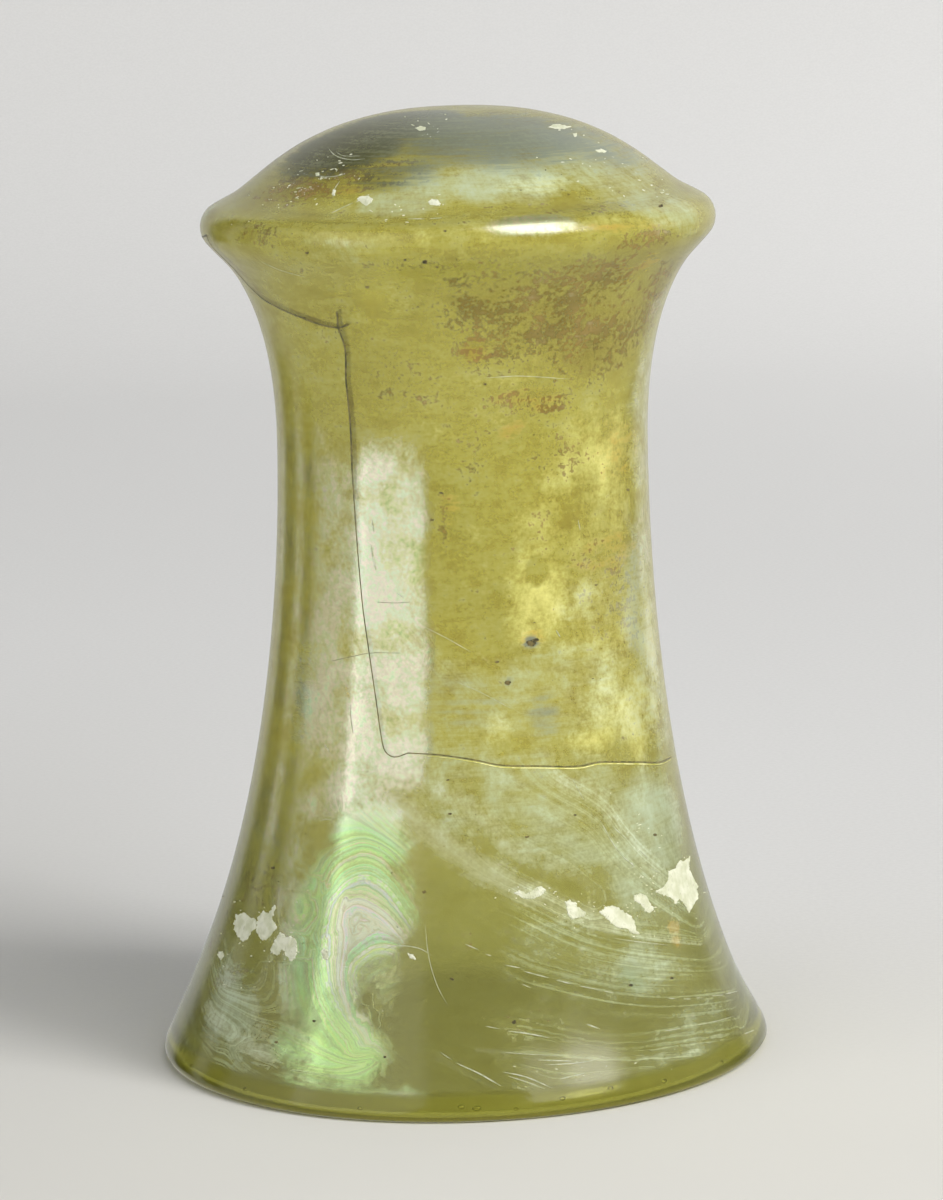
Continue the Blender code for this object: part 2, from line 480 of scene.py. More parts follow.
# The swirl in the glass, each stroke with its place in the flow, as angles from the front and heights in
# millimetres. Strokes run with the swirl's heart on their right
SWIRL = (
    (0.0, [(-24, 8.4), (-29, 10.8), (-33.5, 13.6), (-36, 17.3), (-37, 21.7), (-36, 25), (-33.5, 27.4),
           (-29.5, 28.6), (-26, 29.1), (-20.5, 28.3), (-16.5, 26.5), (-12.5, 24.1), (-9, 21.7), (-4.5, 20.2),
           (-0.5, 19.3), (5, 17.8), (9.5, 16.5), (13.5, 15.4), (20, 14.2), (27, 12.9), (34, 11.7), (44, 10.3),
           (57, 8.9), (73.5, 7.2)]),
    (1.0, [(-22.5, 9.8), (-25.5, 10.7), (-30.5, 13.8), (-34, 17.4), (-35, 21.2), (-32.5, 24.3), (-29, 26),
           (-24.5, 26.6), (-21, 26), (-17.5, 24.8), (-13.5, 22.4), (-10.5, 20.3), (-8, 18.4), (-6.5, 16.4),
           (-4.5, 14.3), (-1.5, 12.3), (2.5, 11.8), (11, 10.7), (19, 9.2), (27.5, 7.8), (36.5, 7), (50, 6.3),
           (69, 4.5)]),
    (2.0, [(-24.5, 11.9), (-28, 14.4), (-29, 17.1), (-29.5, 19.8), (-30.5, 22), (-29, 23.1), (-26.5, 23.6),
           (-23.5, 23.3), (-19.5, 22.4), (-15.5, 20.8), (-12, 18.4), (-9.5, 16)]),
    (3.0, [(-22, 10.3), (-24.5, 12.4), (-25.5, 14), (-26, 15.9), (-24, 17.5), (-20.5, 18.7), (-16.5, 18.8)]),
    (4.0, [(0.5, 4.3), (-3.5, 5.5), (-7, 6.3), (-11, 7), (-14, 8.1), (-16, 9.5), (-17, 11.1), (-16, 12.4),
           (-14, 13.2), (-11, 13.7), (-4.5, 13.2), (1, 12.3)]),
    (5.0, [(-8.5, 8.4), (-9, 9.5), (-8, 10.3), (-5.5, 10.6)]),
    (5.0, [(7, 4), (4, 4.7), (-0.5, 6), (-4.5, 7.8)]),
    (2.2, [(4, 10.2), (9.5, 9.4), (16.5, 8.5), (22.5, 7.4), (31, 5.9), (46, 5.1), (66, 3.4)]),
    (3.2, [(2.5, 7.3), (12, 7), (22, 6), (30.5, 5.1), (39.5, 4.2), (50, 3.2)]),
    (4.4, [(7, 5.1), (11.5, 4.2), (15.5, 3.2), (21, 3), (27.5, 3.3), (36.5, 3.3)]),
    (-0.6, [(-56, 5.2), (-43.5, 6.2), (-36, 5.2), (-30, 4.9), (-24.5, 4.9), (-20.5, 5.3), (-17.5, 6.2)]),
    (-1.5, [(-75, 9), (-65, 7), (-55, 6.2), (-47.5, 5), (-42.5, 4.4), (-30, 3.2), (-16, 2.9), (-5, 2.9)]),
    (-2.0, [(-23, 34.6), (-17.5, 32.7), (-12, 30.8), (-6.5, 28.6), (0.5, 26.7), (8, 25), (15, 23.3),
            (22, 21.3), (29, 19.5), (35.5, 18.1), (42.5, 16.9), (52, 15.5), (63.5, 13.8)]),
    (-3.0, [(-7, 35.3), (-3, 32.4), (2, 29.6), (8, 27), (15, 25), (22.5, 22.9), (29.5, 20.8)]),
    (-4.0, [(25, 35.5), (36.5, 32), (42, 28.7), (47.5, 25.7), (54, 23), (65, 18.9)]),
    (-5.0, [(-11.5, 55.2), (-4.5, 52.3), (4, 48.8), (11, 45.6)]),
)

# Soft patches on the front, by where the picture shows them: x, y, half width and half height in pixels, a turn
# in degrees that drops to the right, a strength and, in squarer ones, a power. A strength below zero takes away
PATCHES = {
    "film": [
        (386, 562, 52, 146, 0, 1.35, 3), (384, 690, 54, 120, 0, 1.1, 4), (370, 838, 56, 54, 0, 1.6),
        (352, 790, 46, 60, 0, 1.0), (308, 930, 36, 90, 0, 1.3), (350, 905, 76, 96, 0, 1.5),
        (320, 990, 56, 120, 0, 1.3), (340, 1045, 66, 50, 20, 1.6), (345, 1090, 100, 12, 3, 0.7, 4),
        (334, 610, 28, 190, 0, 0.9, 4), (300, 590, 26, 200, 0, 0.7, 4), (280, 820, 34, 110, 10, 0.6, 4),
        (490, 1082, 38, 10, 15, 0.5), (635, 975, 26, 28, 0, 0.5), (536, 224, 60, 14, 0, 1.7),
        (330, 243, 50, 9, 0, 0.4), (642, 560, 22, 260, 3, 0.55, 4), (380, 1000, 26, 50, 10, 0.4),
    ],
    "haze": [
        (470, 815, 90, 42, 24, 0.55), (590, 830, 100, 50, 20, 0.6), (655, 870, 50, 90, 5, 0.75),
        (655, 700, 24, 90, 0, 0.6), (695, 1035, 84, 42, -15, 0.55), (560, 945, 76, 40, 0, 0.45),
        (555, 850, 86, 36, 15, 0.75), (228, 1010, 50, 50, 40, 0.85), (275, 1050, 60, 28, 25, 0.5),
        (555, 700, 65, 52, 0, 0.35), (560, 660, 62, 26, 0, 0.4), (500, 182, 110, 28, 0, 0.9),
        (600, 160, 90, 42, 15, 0.6), (665, 205, 48, 18, 20, 0.7), (400, 205, 62, 18, 0, 0.8),
        (440, 186, 70, 24, 0, 0.8), (325, 256, 55, 10, 5, 0.35), (640, 420, 16, 180, 0, 0.45),
        (300, 960, 22, 70, 0, 0.5), (302, 690, 16, 90, 0, 0.55), (465, 700, 80, 62, 0, 0.55),
        (565, 690, 110, 70, 0, 0.6), (645, 965, 42, 50, 0, 0.75), (520, 800, 170, 60, 20, 0.6),
        (655, 835, 70, 100, 0, 0.88), (640, 950, 110, 80, -5, 0.4), (640, 600, 32, 110, 0, 0.6),
        (560, 790, 120, 60, 10, 0.6), (640, 700, 40, 60, 0, 0.5), (600, 600, 50, 60, 0, 0.45),
    ],
    "stain": [
        (550, 312, 120, 70, 5, 0.75), (600, 275, 64, 26, 5, 0.8), (480, 306, 50, 18, 18, 0.9),
        (460, 284, 30, 10, 5, 0.5), (475, 350, 34, 26, 0, 0.7), (625, 330, 40, 60, 0, 0.6),
        (505, 345, 52, 26, 0, 0.7), (535, 402, 62, 24, 10, 0.55), (620, 600, 38, 80, 0, 0.45),
        (443, 520, 9, 42, 0, 0.6), (420, 560, 9, 13, 0, 0.5), (400, 380, 60, 50, 0, 0.35),
        (225, 978, 24, 18, -30, 0.8), (560, 207, 115, 9, 3, 0.45), (320, 184, 76, 22, -16, 0.75),
        (470, 128, 80, 12, 3, 0.3), (545, 525, 30, 40, 0, 0.35), (600, 335, 70, 56, 0, 0.8),
        (650, 300, 36, 50, 0, 0.7), (645, 245, 46, 18, 0, 0.75), (255, 235, 36, 18, 0, 0.5),
        (440, 268, 120, 14, 0, 0.4), (560, 455, 50, 30, 0, 0.45), (470, 430, 40, 60, 0, 0.3),
        (590, 560, 50, 60, 0, 0.25), (260, 880, 30, 40, 0, 0.5), (220, 925, 20, 40, 0, 0.5),
    ],
    # Pale yellow patches, partly a deposit and partly painted light: light through the glass on the right, and
    # the highlight on the crown and along its ridge
    "glow": [
        (538, 598, 48, 66, 0, 0.95), (600, 480, 70, 95, 0, 0.8), (570, 520, 60, 60, 0, 0.7),
        (602, 610, 56, 90, 0, 0.6), (622, 700, 46, 54, 0, 0.7), (638, 745, 15, 24, 0, 1.0),
        (640, 712, 30, 70, 0, 0.85), (600, 738, 44, 22, 0, 0.8), (648, 640, 15, 95, 0, 0.6),
        (500, 725, 24, 24, 0, 0.5), (520, 380, 64, 9, 0, 0.5), (535, 345, 50, 26, 0, 0.5),
        (535, 185, 52, 12, 0, 0.9), (560, 222, 130, 8, 2, 0.6), (400, 238, 190, 14, 0, 0.35),
        (590, 895, 14, 12, 0, 0.5), (537, 571, 13, 17, 0, -2.0), (440, 700, 60, 60, 0, 0.2),
    ],
    "amber": [
        (385, 168, 24, 10, -10, 0.6), (345, 190, 24, 9, -10, 0.8), (630, 226, 75, 8, 3, 0.8),
        (675, 932, 9, 24, 0, 1.1), (350, 690, 10, 15, 0, 1.0), (533, 400, 48, 19, 10, 0.8),
        (512, 430, 22, 13, -20, 0.8), (612, 555, 42, 32, 0, 0.6), (642, 262, 32, 24, 0, 0.6),
        (620, 450, 30, 50, 0, 0.5), (475, 350, 24, 18, 0, 0.8), (531, 640, 22, 14, 0, 0.9),
        (450, 510, 16, 30, 0, 0.6), (545, 555, 12, 12, 0, 0.4), (330, 185, 50, 18, -15, 0.5),
    ],
    # On the crown, a painted dark reflection; on the body, grey weathering and dark spots
    "grey": [
        (405, 122, 90, 42, -14, 1.5), (352, 140, 88, 34, -26, 1.5), (280, 175, 50, 24, -28, 0.3),
        (500, 132, 170, 50, 3, 1.2), (400, 174, 70, 24, -10, 0.9), (590, 140, 90, 30, 14, 0.9),
        (545, 715, 26, 40, 0, 0.7), (470, 700, 60, 50, 0, 0.4), (250, 985, 44, 44, 0, 0.4),
        (531, 643, 11, 9, 0, 1.4), (508, 683, 6, 7, 0, 1.0), (497, 662, 5, 5, 0, 1.0),
        (280, 205, 30, 12, 0, 0.4), (212, 1010, 20, 30, 40, 0.5),
    ],
    # Painted glints: where near-white specks are painted into the skin
    "glints": [
        (320, 180, 60, 28, -10, 1.0), (600, 160, 70, 36, 15, 0.8), (420, 130, 50, 14, 0, 1.0),
        (640, 845, 36, 50, 20, 1.0), (270, 200, 50, 20, 0, 0.8), (450, 180, 60, 30, 0, 0.5),
    ],
}

# Milky clouds on the front: a path in the picture, a half width in pixels and a strength
CLOUDS = [
    ([(394, 802), (420, 825), (460, 855), (500, 880), (560, 905), (612, 925)], 22, 1.0),
    ([(440, 790), (480, 815), (512, 850)], 18, 0.8),
    ([(430, 765), (450, 800), (470, 830)], 14, 0.6),
    ([(500, 840), (560, 870), (600, 892)], 20, 0.7),
    ([(560, 780), (600, 800), (640, 850), (662, 880)], 20, 0.7),
    ([(590, 785), (640, 840)], 16, 0.6),
    ([(205, 1005), (240, 1040), (272, 1062)], 15, 0.9),
    ([(235, 940), (225, 975), (245, 1000)], 11, 0.7),
    ([(270, 960), (255, 1000), (275, 1040)], 13, 0.7),
    ([(640, 1060), (700, 1045), (748, 1015)], 14, 0.4),
]

# Milky streaks along the flow, in the same way
WISPS = [
    ([(400, 800), (460, 850), (520, 885), (600, 920)], 22, 0.35),
    ([(560, 780), (610, 815), (655, 870)], 30, 0.35),
    ([(615, 928), (660, 940), (702, 946)], 8, 0.8),
    ([(470, 900), (560, 945), (700, 965)], 24, 0.25),
    ([(440, 960), (560, 1000), (740, 1000)], 24, 0.2),
    ([(440, 1055), (480, 1078), (540, 1092), (600, 1085), (652, 1072)], 10, 0.7),
    ([(480, 1050), (560, 1060), (640, 1055), (722, 1035)], 8, 0.6),
    ([(620, 1010), (700, 1000), (748, 990)], 13, 0.4),
    ([(660, 1060), (720, 1045), (755, 1022)], 12, 0.5),
    ([(403, 997), (388, 1006), (384, 1020), (391, 1040), (408, 1055), (440, 1066)], 5, 0.35),
    ([(440, 1025), (427, 1030), (425, 1046)], 8, 0.4),
    ([(400, 948), (380, 955), (364, 975), (352, 1005)], 5, 0.9),
    ([(328, 1075), (350, 1076), (367, 1071)], 3.5, 1.0),
    ([(338, 912), (352, 902), (368, 899), (385, 915), (395, 935)], 8, 0.8),
    ([(515, 890), (545, 892)], 6, 1.0),
    ([(470, 946), (540, 958), (600, 955)], 5, 0.4),
    ([(425, 626), (470, 650), (512, 672)], 5, 0.5),
    ([(455, 680), (510, 707), (560, 748)], 5, 0.5),
]

# Patches out of the picture: an angle from the front, a height, a half width and a half height in millimetres,
# a turn and a strength
FAR_PATCHES = {
    "film": [
        (150, 60, 24, 30, 0, 0.7), (-130, 30, 22, 20, 0, 0.8), (110, 24, 16, 16, 0, 0.6),
        (180, 14, 18, 8, 0, 0.7),
    ],
    "haze": [
        (120, 30, 22, 14, 15, 0.7), (-150, 60, 24, 18, -20, 0.6), (170, 102, 26, 6, 0, 0.8),
        (-110, 14, 20, 9, 0, 0.7), (100, 8, 16, 6, 0, 0.7), (-170, 24, 24, 10, 25, 0.5),
        (-100, 102, 20, 5, 0, 0.6),
    ],
    "stain": [
        (140, 84, 16, 10, 0, 0.8), (-140, 88, 14, 8, 0, 0.6), (-160, 40, 10, 8, 0, 0.5),
        (100, 70, 8, 14, 0, 0.5),
    ],
    # Partly a pale deposit, partly painted light
    "glow": [
        (120, 62, 12, 12, 0, 0.7), (-120, 72, 12, 10, 0, 0.6), (170, 44, 14, 10, 0, 0.6),
    ],
    "amber": [
        (130, 80, 10, 6, 0, 0.7), (-150, 80, 8, 5, 0, 0.6), (160, 101, 18, 2, 0, 0.8),
    ],
    # On the crown, a painted dark reflection; lower down, grey weathering
    "grey": [
        (-110, 108, 16, 8, 0, 0.8), (150, 107, 14, 6, 0, 0.6), (-120, 20, 9, 7, 0, 0.4),
    ],
    # Painted glints
    "glints": [
        (-120, 105, 16, 8, 0, 0.8), (140, 20, 14, 10, 0, 0.7),
    ],
}


# Vertices nearer than this to the outline, or over this height, are on the outside
HALF_WALL = 0.5 * MM
CROWN_HEIGHT = 111.5 * MM

# The flow between the strokes, in millimetres: how soft a stroke's pull is, how fast the flow climbs beside it
# and for how far, and how weak the plain flow is that holds away from all strokes
STROKE_SOFTNESS = 0.15
CLIMB_BESIDE = 0.4
CLIMB_REACH = 6
PLAIN_FLOW_SHARE = 0.012


def arc_between(angles, angle):
    """How far round from the angle to the others, in degrees from -180 to 180."""
    return (angles - angle + 180) % 360 - 180


class Fields:
    """Soft fields over the glass's vertices, which the finish reads as attributes."""

    def __init__(self, shape, shell, sight):
        self.shape, self.mesh, self.sight = shape, shell.data, sight
        upright = positions_of(shell.data)
        self.radius = np.hypot(upright[:, 0], upright[:, 1])
        self.angle = np.degrees(np.arctan2(upright[:, 0], -upright[:, 1]))
        self.height = upright[:, 2]
        self.along = np.interp(self.height, shape.heights, shape.along)
        self.outer = self.radius > np.interp(self.height, shape.heights, shape.radii) - HALF_WALL
        self.outer |= self.height > CROWN_HEIGHT
        self.leaned = shape.leaned(upright)

    def lay(self, name, values):
        field = self.mesh.attributes.new(name, "FLOAT", "POINT")
        field.data.foreach_set("value", np.asarray(values, np.float32))

    def patch(self, angle, height, wide, tall, turn, strength, power=2):
        """A patch with a soft edge, by angle and height in millimetres. A higher power makes it squarer."""
        radius = float(np.interp(height * MM, self.shape.heights, self.shape.radii))
        middle = float(np.interp(height * MM, self.shape.heights, self.shape.along))
        across = np.radians(arc_between(self.angle, angle)) * radius / MM
        up = (self.along - middle) / MM
        tilt = math.radians(turn)
        first = (across * math.cos(tilt) - up * math.sin(tilt)) / wide
        second = (across * math.sin(tilt) + up * math.cos(tilt)) / tall
        rest = np.clip(1 - np.abs(first) ** power - np.abs(second) ** power, 0, 1)
        return strength * rest * rest * (3 - 2 * rest)

    def seen_patch(self, x, y, wide, tall, turn, strength, power=2):
        """The same from where the picture shows it, its size measured on the glass itself."""
        ends = [(x, y), (x - wide, y), (x + wide, y), (x, y - tall), (x, y + tall)]
        angles, heights = self.sight.find(ends)
        places = self.shape.on_glass(angles, heights) / MM
        across = np.linalg.norm(places[2] - places[1]) / 2
        up = np.linalg.norm(places[4] - places[3]) / 2
        return self.patch(angles[0], heights[0] / MM, across, up, turn, strength, power)

    def patches(self, name):
        laid = [self.seen_patch(*patch) for patch in PATCHES[name]]
        laid += [self.patch(*patch) for patch in FAR_PATCHES[name]]
        most, least = np.max(laid, axis=0), np.min(laid, axis=0)
        return np.clip(most + np.minimum(least, 0), 0, None) * self.outer

    def wisps(self, paths):
        total = np.zeros(len(self.height))
        front = np.flatnonzero(self.outer & (np.abs(self.angle) < 100))
        mine = self.leaned[front] / MM
        for path, half_width, strength in paths:
            angles, heights = self.sight.find(path)
            line = curve_through(list(zip(angles, heights / MM)), 0.7)
            places = self.shape.on_glass(line[:, 0], line[:, 1] * MM) / MM
            least = np.min([((mine - place) ** 2).sum(1) for place in places], axis=0)
            rest = np.clip(1 - least / (half_width / PIXELS_PER_MM) ** 2, 0, 1)
            total[front] = np.maximum(total[front], strength * rest)
        return total

    def beside(self, stroke):
        """Distance from the stroke, and how far to its right, in millimetres."""
        line = curve_through([(angle, height * MM) for angle, height in stroke], 0.4)
        places = self.shape.on_glass(line[:, 0], line[:, 1]) / MM
        ahead = np.gradient(places, axis=0)
        ahead /= np.linalg.norm(ahead, axis=1)[:, None]
        turns = np.radians(line[:, 0])
        outward = np.column_stack([np.sin(turns), -np.cos(turns), np.zeros(len(turns))])
        right = np.cross(ahead, outward)
        mine = self.leaned / MM
        nearest = np.zeros(len(mine), int)
        least = np.full(len(mine), np.inf)
        for number, place in enumerate(places):
            distance = ((mine - place) ** 2).sum(1)
            closer = distance < least
            least[closer] = distance[closer]
            nearest[closer] = number
        side = ((mine - places[nearest]) * right[nearest]).sum(1)
        return np.sqrt(least), side

    def steepness(self, values):
        """How fast the values change from vertex to vertex, per millimetre."""
        ends = np.empty(len(self.mesh.edges) * 2, np.int32)
        self.mesh.edges.foreach_get("vertices", ends)
        first, second = ends.reshape(-1, 2).T
        lengths = np.linalg.norm(self.leaned[first] - self.leaned[second], axis=1) / MM
        slopes = np.abs(values[first] - values[second]) / np.maximum(lengths, 1e-3)
        most = np.zeros(len(values))
        np.maximum.at(most, first, slopes)
        np.maximum.at(most, second, slopes)
        return most

    def flow(self):
        """The swirl's own measure: one value along each stroke, and values that run smoothly between them."""
        rise = np.log(np.maximum(self.height / MM, 1.5))
        plain = 3.8 * (2.9 - rise - 0.72 * np.sin(np.radians(self.angle)))
        total = PLAIN_FLOW_SHARE * plain
        weight = np.full(len(self.height), PLAIN_FLOW_SHARE)
        nearest = np.full(len(self.height), np.inf)
        for value, stroke in SWIRL:
            distance, side = self.beside(stroke)
            share = 1 / (distance**2 + STROKE_SOFTNESS) ** 1.5
            total += share * (value + CLIMB_BESIDE * np.clip(side, -CLIMB_REACH, CLIMB_REACH))
            weight += share
            if value > -1:
                nearest = np.minimum(nearest, distance)
        return total / weight, np.clip(1.6 - nearest / 4, 0, 1)


def lay_fields(shape, shell, sight):
    """Lays all the fields on the shell's vertices, while it still stands upright."""
    fields = Fields(shape, shell, sight)
    fields.lay("outside", fields.outer * 1.0)
    for name in PATCHES:
        fields.lay(name, fields.patches(name))
    fields.lay("milk", fields.wisps(WISPS))
    fields.lay("cloud", fields.wisps(CLOUDS))
    fields.lay("climb", fields.along / MM)
    flow, swirl = fields.flow()
    fields.lay("flow", flow)
    fields.lay("swirl", swirl)
    fields.lay("steep", fields.steepness(flow))


# Thin marks that lie on the glass or run through it

def thicken(piece, thickness):
    """Gives a sheet its thickness, and turns its faces outwards."""
    alone(piece)
    solid = piece.modifiers.new("thickness", "SOLIDIFY")
    solid.thickness = thickness
    solid.offset = 0.0
    bpy.ops.object.modifier_apply(modifier=solid.name)
    bpy.ops.object.mode_set(mode="EDIT")
    bpy.ops.mesh.select_all(action="SELECT")
    bpy.ops.mesh.normals_make_consistent(inside=False)
    bpy.ops.object.mode_set(mode="OBJECT")


def strip(middle, sideways, thickness):
    """A narrow strip that follows the places, from a grid one face wide."""
    steps = len(middle) - 1
    bpy.ops.object.select_all(action="DESELECT")
    bpy.ops.mesh.primitive_grid_add(x_subdivisions=steps, y_subdivisions=1, size=2)
    piece = bpy.context.object
    flat = positions_of(piece.data)
    order = np.rint((flat[:, 0] + 1) / 2 * steps).astype(int)
    move_to(piece.data, middle[order] + np.sign(flat[:, 1:2]) * sideways[order])
    thicken(piece, thickness)
    return piece


def line_on_glass(sight, path, longest=0.5):
    """The angles and heights of a curve through spots of the picture."""
    angles, heights = sight.find(path)
    line = curve_through(list(zip(angles * MM_PER_DEGREE, heights / MM)), longest)
    return line[:, 0] / MM_PER_DEGREE, line[:, 1] * MM


def surface_strip(shape, sight, path, width, proud):
    """A hair-thin strip that lies on the glass and tapers at both ends."""
    angles, heights = line_on_glass(sight, path)
    middle = shape.on_glass(angles, heights, proud)
    outward = shape.on_glass(angles, heights, proud + 0.1 * MM) - middle
    side = np.cross(np.gradient(middle, axis=0), outward)
    side /= np.linalg.norm(side, axis=1)[:, None]
    shares = np.linspace(0, 1, len(middle))
    taper = np.clip(np.sin(np.pi * shares) * 1.6, 0.15, 1.0)[:, None]
    return strip(middle, side * taper * width / 2, 0.6 * width)


def wall_strip(shape, angles, heights, depth, proud, width):
    """A strip that stands in the wall, from just proud of the outside to a depth in the glass."""
    outer = shape.on_glass(angles, heights, proud)
    inner = shape.on_glass(angles, heights, -depth)
    return strip((outer + inner) / 2, (outer - inner) / 2, width)


def crosses_itself(outline):
    """Whether any two sides of the closed outline cross."""
    sides = np.roll(outline, -1, axis=0) - outline
    apart = outline[None] - outline[:, None]
    first, second = sides[:, None], sides[None]

    def cross(one, other):
        return one[..., 0] * other[..., 1] - one[..., 1] * other[..., 0]

    turn = cross(first, second)
    turn = np.where(np.abs(turn) < PARALLEL, np.inf, turn)
    shares = np.stack([cross(apart, second) / turn, cross(apart, first) / turn])
    return bool(((shares > TINY) & (shares < 1 - TINY)).all(axis=0).any())


def ragged(outline, longest, amount, seed):
    """The closed outline cut finer, with each point pushed about by noise, as far as its sides stay clear."""
    points = np.array(outline + outline[:1], float)
    along = lengths_along(points)
    steps = max(10, math.ceil(along[-1] / longest))
    spread = np.linspace(0, along[-1], steps, endpoint=False)
    finer = np.column_stack([np.interp(spread, along, points[:, axis]) for axis in (0, 1)])
    pushes = np.zeros_like(finer)
    for number, (x, y) in enumerate(finer):
        for axis in (0, 1):
            layer = seed + 31 * axis
            pushes[number, axis] = noise.noise(Vector((x * 0.25, y * 0.25, layer)))
            pushes[number, axis] += 0.9 * noise.noise(Vector((x * 0.7, y * 0.7, layer + 9)))
    for _ in range(20):
        if crosses_itself(finer + amount * pushes):
            amount *= 0.85
    return finer + amount * pushes


def flake(shape, sight, outline, thickness, seed, raggedness=1.5):
    """A thin crusty flake: its outline is drawn flat, filled and cut finer, and then laid on the glass."""
    spots = ragged(outline, 0.9, raggedness, seed)
    angles, heights = sight.find(spots)
    bpy.ops.object.select_all(action="DESELECT")
    bpy.ops.mesh.primitive_circle_add(vertices=len(spots), radius=1, fill_type="NOTHING")
    piece = bpy.context.object
    flat = np.column_stack([angles * MM_PER_DEGREE * MM, heights, np.zeros(len(spots))])
    move_to(piece.data, flat)
    bpy.ops.object.mode_set(mode="EDIT")
    bpy.ops.mesh.select_all(action="SELECT")
    bpy.ops.mesh.fill()
    bpy.ops.mesh.subdivide(number_cuts=1)
    bpy.ops.object.mode_set(mode="OBJECT")
    mesh = piece.data
    flat = positions_of(mesh)
    edges = np.empty(len(mesh.loops), np.int32)
    mesh.loops.foreach_get("edge_index", edges)
    ends = np.empty(len(mesh.edges) * 2, np.int32)
    mesh.edges.foreach_get("vertices", ends)
    single = np.flatnonzero(np.bincount(edges, minlength=len(mesh.edges)) == 1)
    inside = np.ones(len(flat))
    inside[ends.reshape(-1, 2)[single].ravel()] = 0
    bumps = np.array([noise.noise(Vector(place) * 2500) for place in flat])
    out = inside * thickness * (0.9 + 0.5 * bumps)
    move_to(mesh, shape.on_glass(flat[:, 0] / (MM_PER_DEGREE * MM), flat[:, 1], out))
    thicken(piece, 0.5 * thickness)
    return piece


def scattered(clusters, seed, longest):
    """Random spots in oval clusters, each with a half length, a half width and a turn."""
    chance = random.Random(seed)
    spots = []
    for x, y, wide, tall, turn, count in clusters:
        tilt = math.radians(turn)
        for _ in range(count):
            right, down = chance.gauss(0, 0.5) * wide, chance.gauss(0, 0.5) * tall
            spots.append(
                (
                    x + right * math.cos(tilt) - down * math.sin(tilt),
                    y + right * math.sin(tilt) + down * math.cos(tilt),
                    0.5 + chance.random() ** 2 * longest,
                    chance.uniform(0.35, 0.8),
                    math.radians(turn + chance.gauss(0, 20)),
                )
            )
    return spots


def specks(name, shape, sight, marks):
    """Tiny flat flakes joined in one piece, each a six-sided fan. A mark off the glass is left out."""
    pieces = []
    for number, (x, y, long, wide, turn) in enumerate(marks):
        bpy.ops.object.select_all(action="DESELECT")
        bpy.ops.mesh.primitive_circle_add(vertices=6, radius=1, fill_type="TRIFAN")
        piece = bpy.context.object
        flat = positions_of(piece.data)
        layer = Vector((0, 0, number))
        flat *= [[0.8 + 0.4 * noise.noise(Vector(corner) * 2 + layer)] for corner in flat]
        right, down = flat[:, 0] * long, flat[:, 1] * wide
        across = right * math.cos(turn) - down * math.sin(turn)
        spots = np.column_stack([x + across, y + right * math.sin(turn) + down * math.cos(turn)])
        angles, heights = sight.find(spots)
        places = shape.on_glass(angles, heights)
        if np.abs(sight.seen(places) - spots).max() > SPECK_MISS:
            bpy.data.objects.remove(piece, do_unlink=True)
            continue
        move_to(piece.data, shape.on_glass(angles, heights, SPECK_PROUD))
        pieces.append(piece)
    whole = joined(name, pieces)
    thicken(whole, SPECK_THICKNESS)
    return whole


def joined(name, pieces):
    """The pieces as one object of this name."""
    bpy.ops.object.select_all(action="DESELECT")
    for piece in pieces:
        piece.select_set(True)
    bpy.context.view_layer.objects.active = pieces[0]
    bpy.ops.object.join()
    whole = pieces[0]
    whole.name = whole.data.name = name
    return whole


# The mended break and the small cracks near it, as paths in the picture
BREAK = [
    [(207, 236), (222, 257), (240, 276), (258, 295), (275, 306), (300, 317), (322, 325), (338, 328)],
    [(338, 328), (345, 348), (346, 380), (350, 420), (352, 470)],
    [(408, 753), (440, 755), (475, 760), (500, 765), (540, 766), (580, 766), (600, 762), (640, 762),
     (660, 762), (671, 757)],
    [(338, 328), (337, 312)],
    [(338, 328), (348, 325)],
    [(352, 470), (356, 530), (362, 600), (368, 645), (376, 700), (381, 735), (385, 751), (394, 757),
     (408, 753)],
]

# How many degrees the break runs on round the left, its lower edge, which catches the light, and its finer
# stretches with their share of its width
RUN_ON = 40
LIT_PATH = 2
FINE_PATHS = (2, 5)
FINE_BREAK = 0.6
EDGE_DROP = 2
EDGE_WIDTH = 0.1 * MM

CRACKS = [
    [(377, 602), (395, 603), (410, 602)],
    [(332, 661), (350, 657), (371, 653), (400, 653)],
    [(350, 705), (351, 720), (353, 733)],
]

# White crust left on the lower body, each flake by its outline in the picture
CRUST = [
    [(236, 915), (243, 912), (250, 917), (258, 921), (256, 928), (251, 932), (248, 939), (243, 942),
     (238, 937), (234, 928)],
    [(257, 917), (263, 911), (269, 914), (274, 904), (276, 908), (272, 918), (277, 928), (271, 935),
     (266, 941), (260, 938), (257, 930)],
    [(276, 939), (281, 932), (286, 937), (291, 936), (297, 942), (297, 951), (295, 960), (291, 961),
     (286, 955), (283, 950), (277, 955), (270, 953), (272, 946)],
    [(321, 951), (326, 949), (329, 953), (328, 959), (323, 959)],
    [(219, 952), (223, 951), (224, 956), (221, 959), (218, 957)],
    [(565, 902), (570, 900), (576, 903), (579, 908), (585, 911), (584, 917), (577, 918), (571, 920),
     (568, 914)],
    [(599, 912), (607, 906), (616, 906), (624, 912), (632, 917), (634, 925), (639, 934), (633, 934),
     (627, 928), (619, 928), (612, 924), (606, 918)],
    [(633, 896), (640, 893), (646, 896), (650, 903), (654, 908), (650, 913), (645, 911), (641, 904),
     (635, 902)],
    [(655, 892), (664, 886), (668, 880), (669, 871), (676, 868), (679, 860), (684, 862), (690, 856),
     (689, 868), (692, 876), (697, 884), (698, 897), (694, 905), (689, 913), (685, 906), (680, 899),
     (676, 904), (671, 898), (664, 896)],
    [(514, 893), (520, 890), (527, 894), (534, 889), (541, 886), (546, 890), (540, 896), (531, 899),
     (523, 898)],
    [(407, 953), (413, 954), (416, 959), (411, 958)],
]

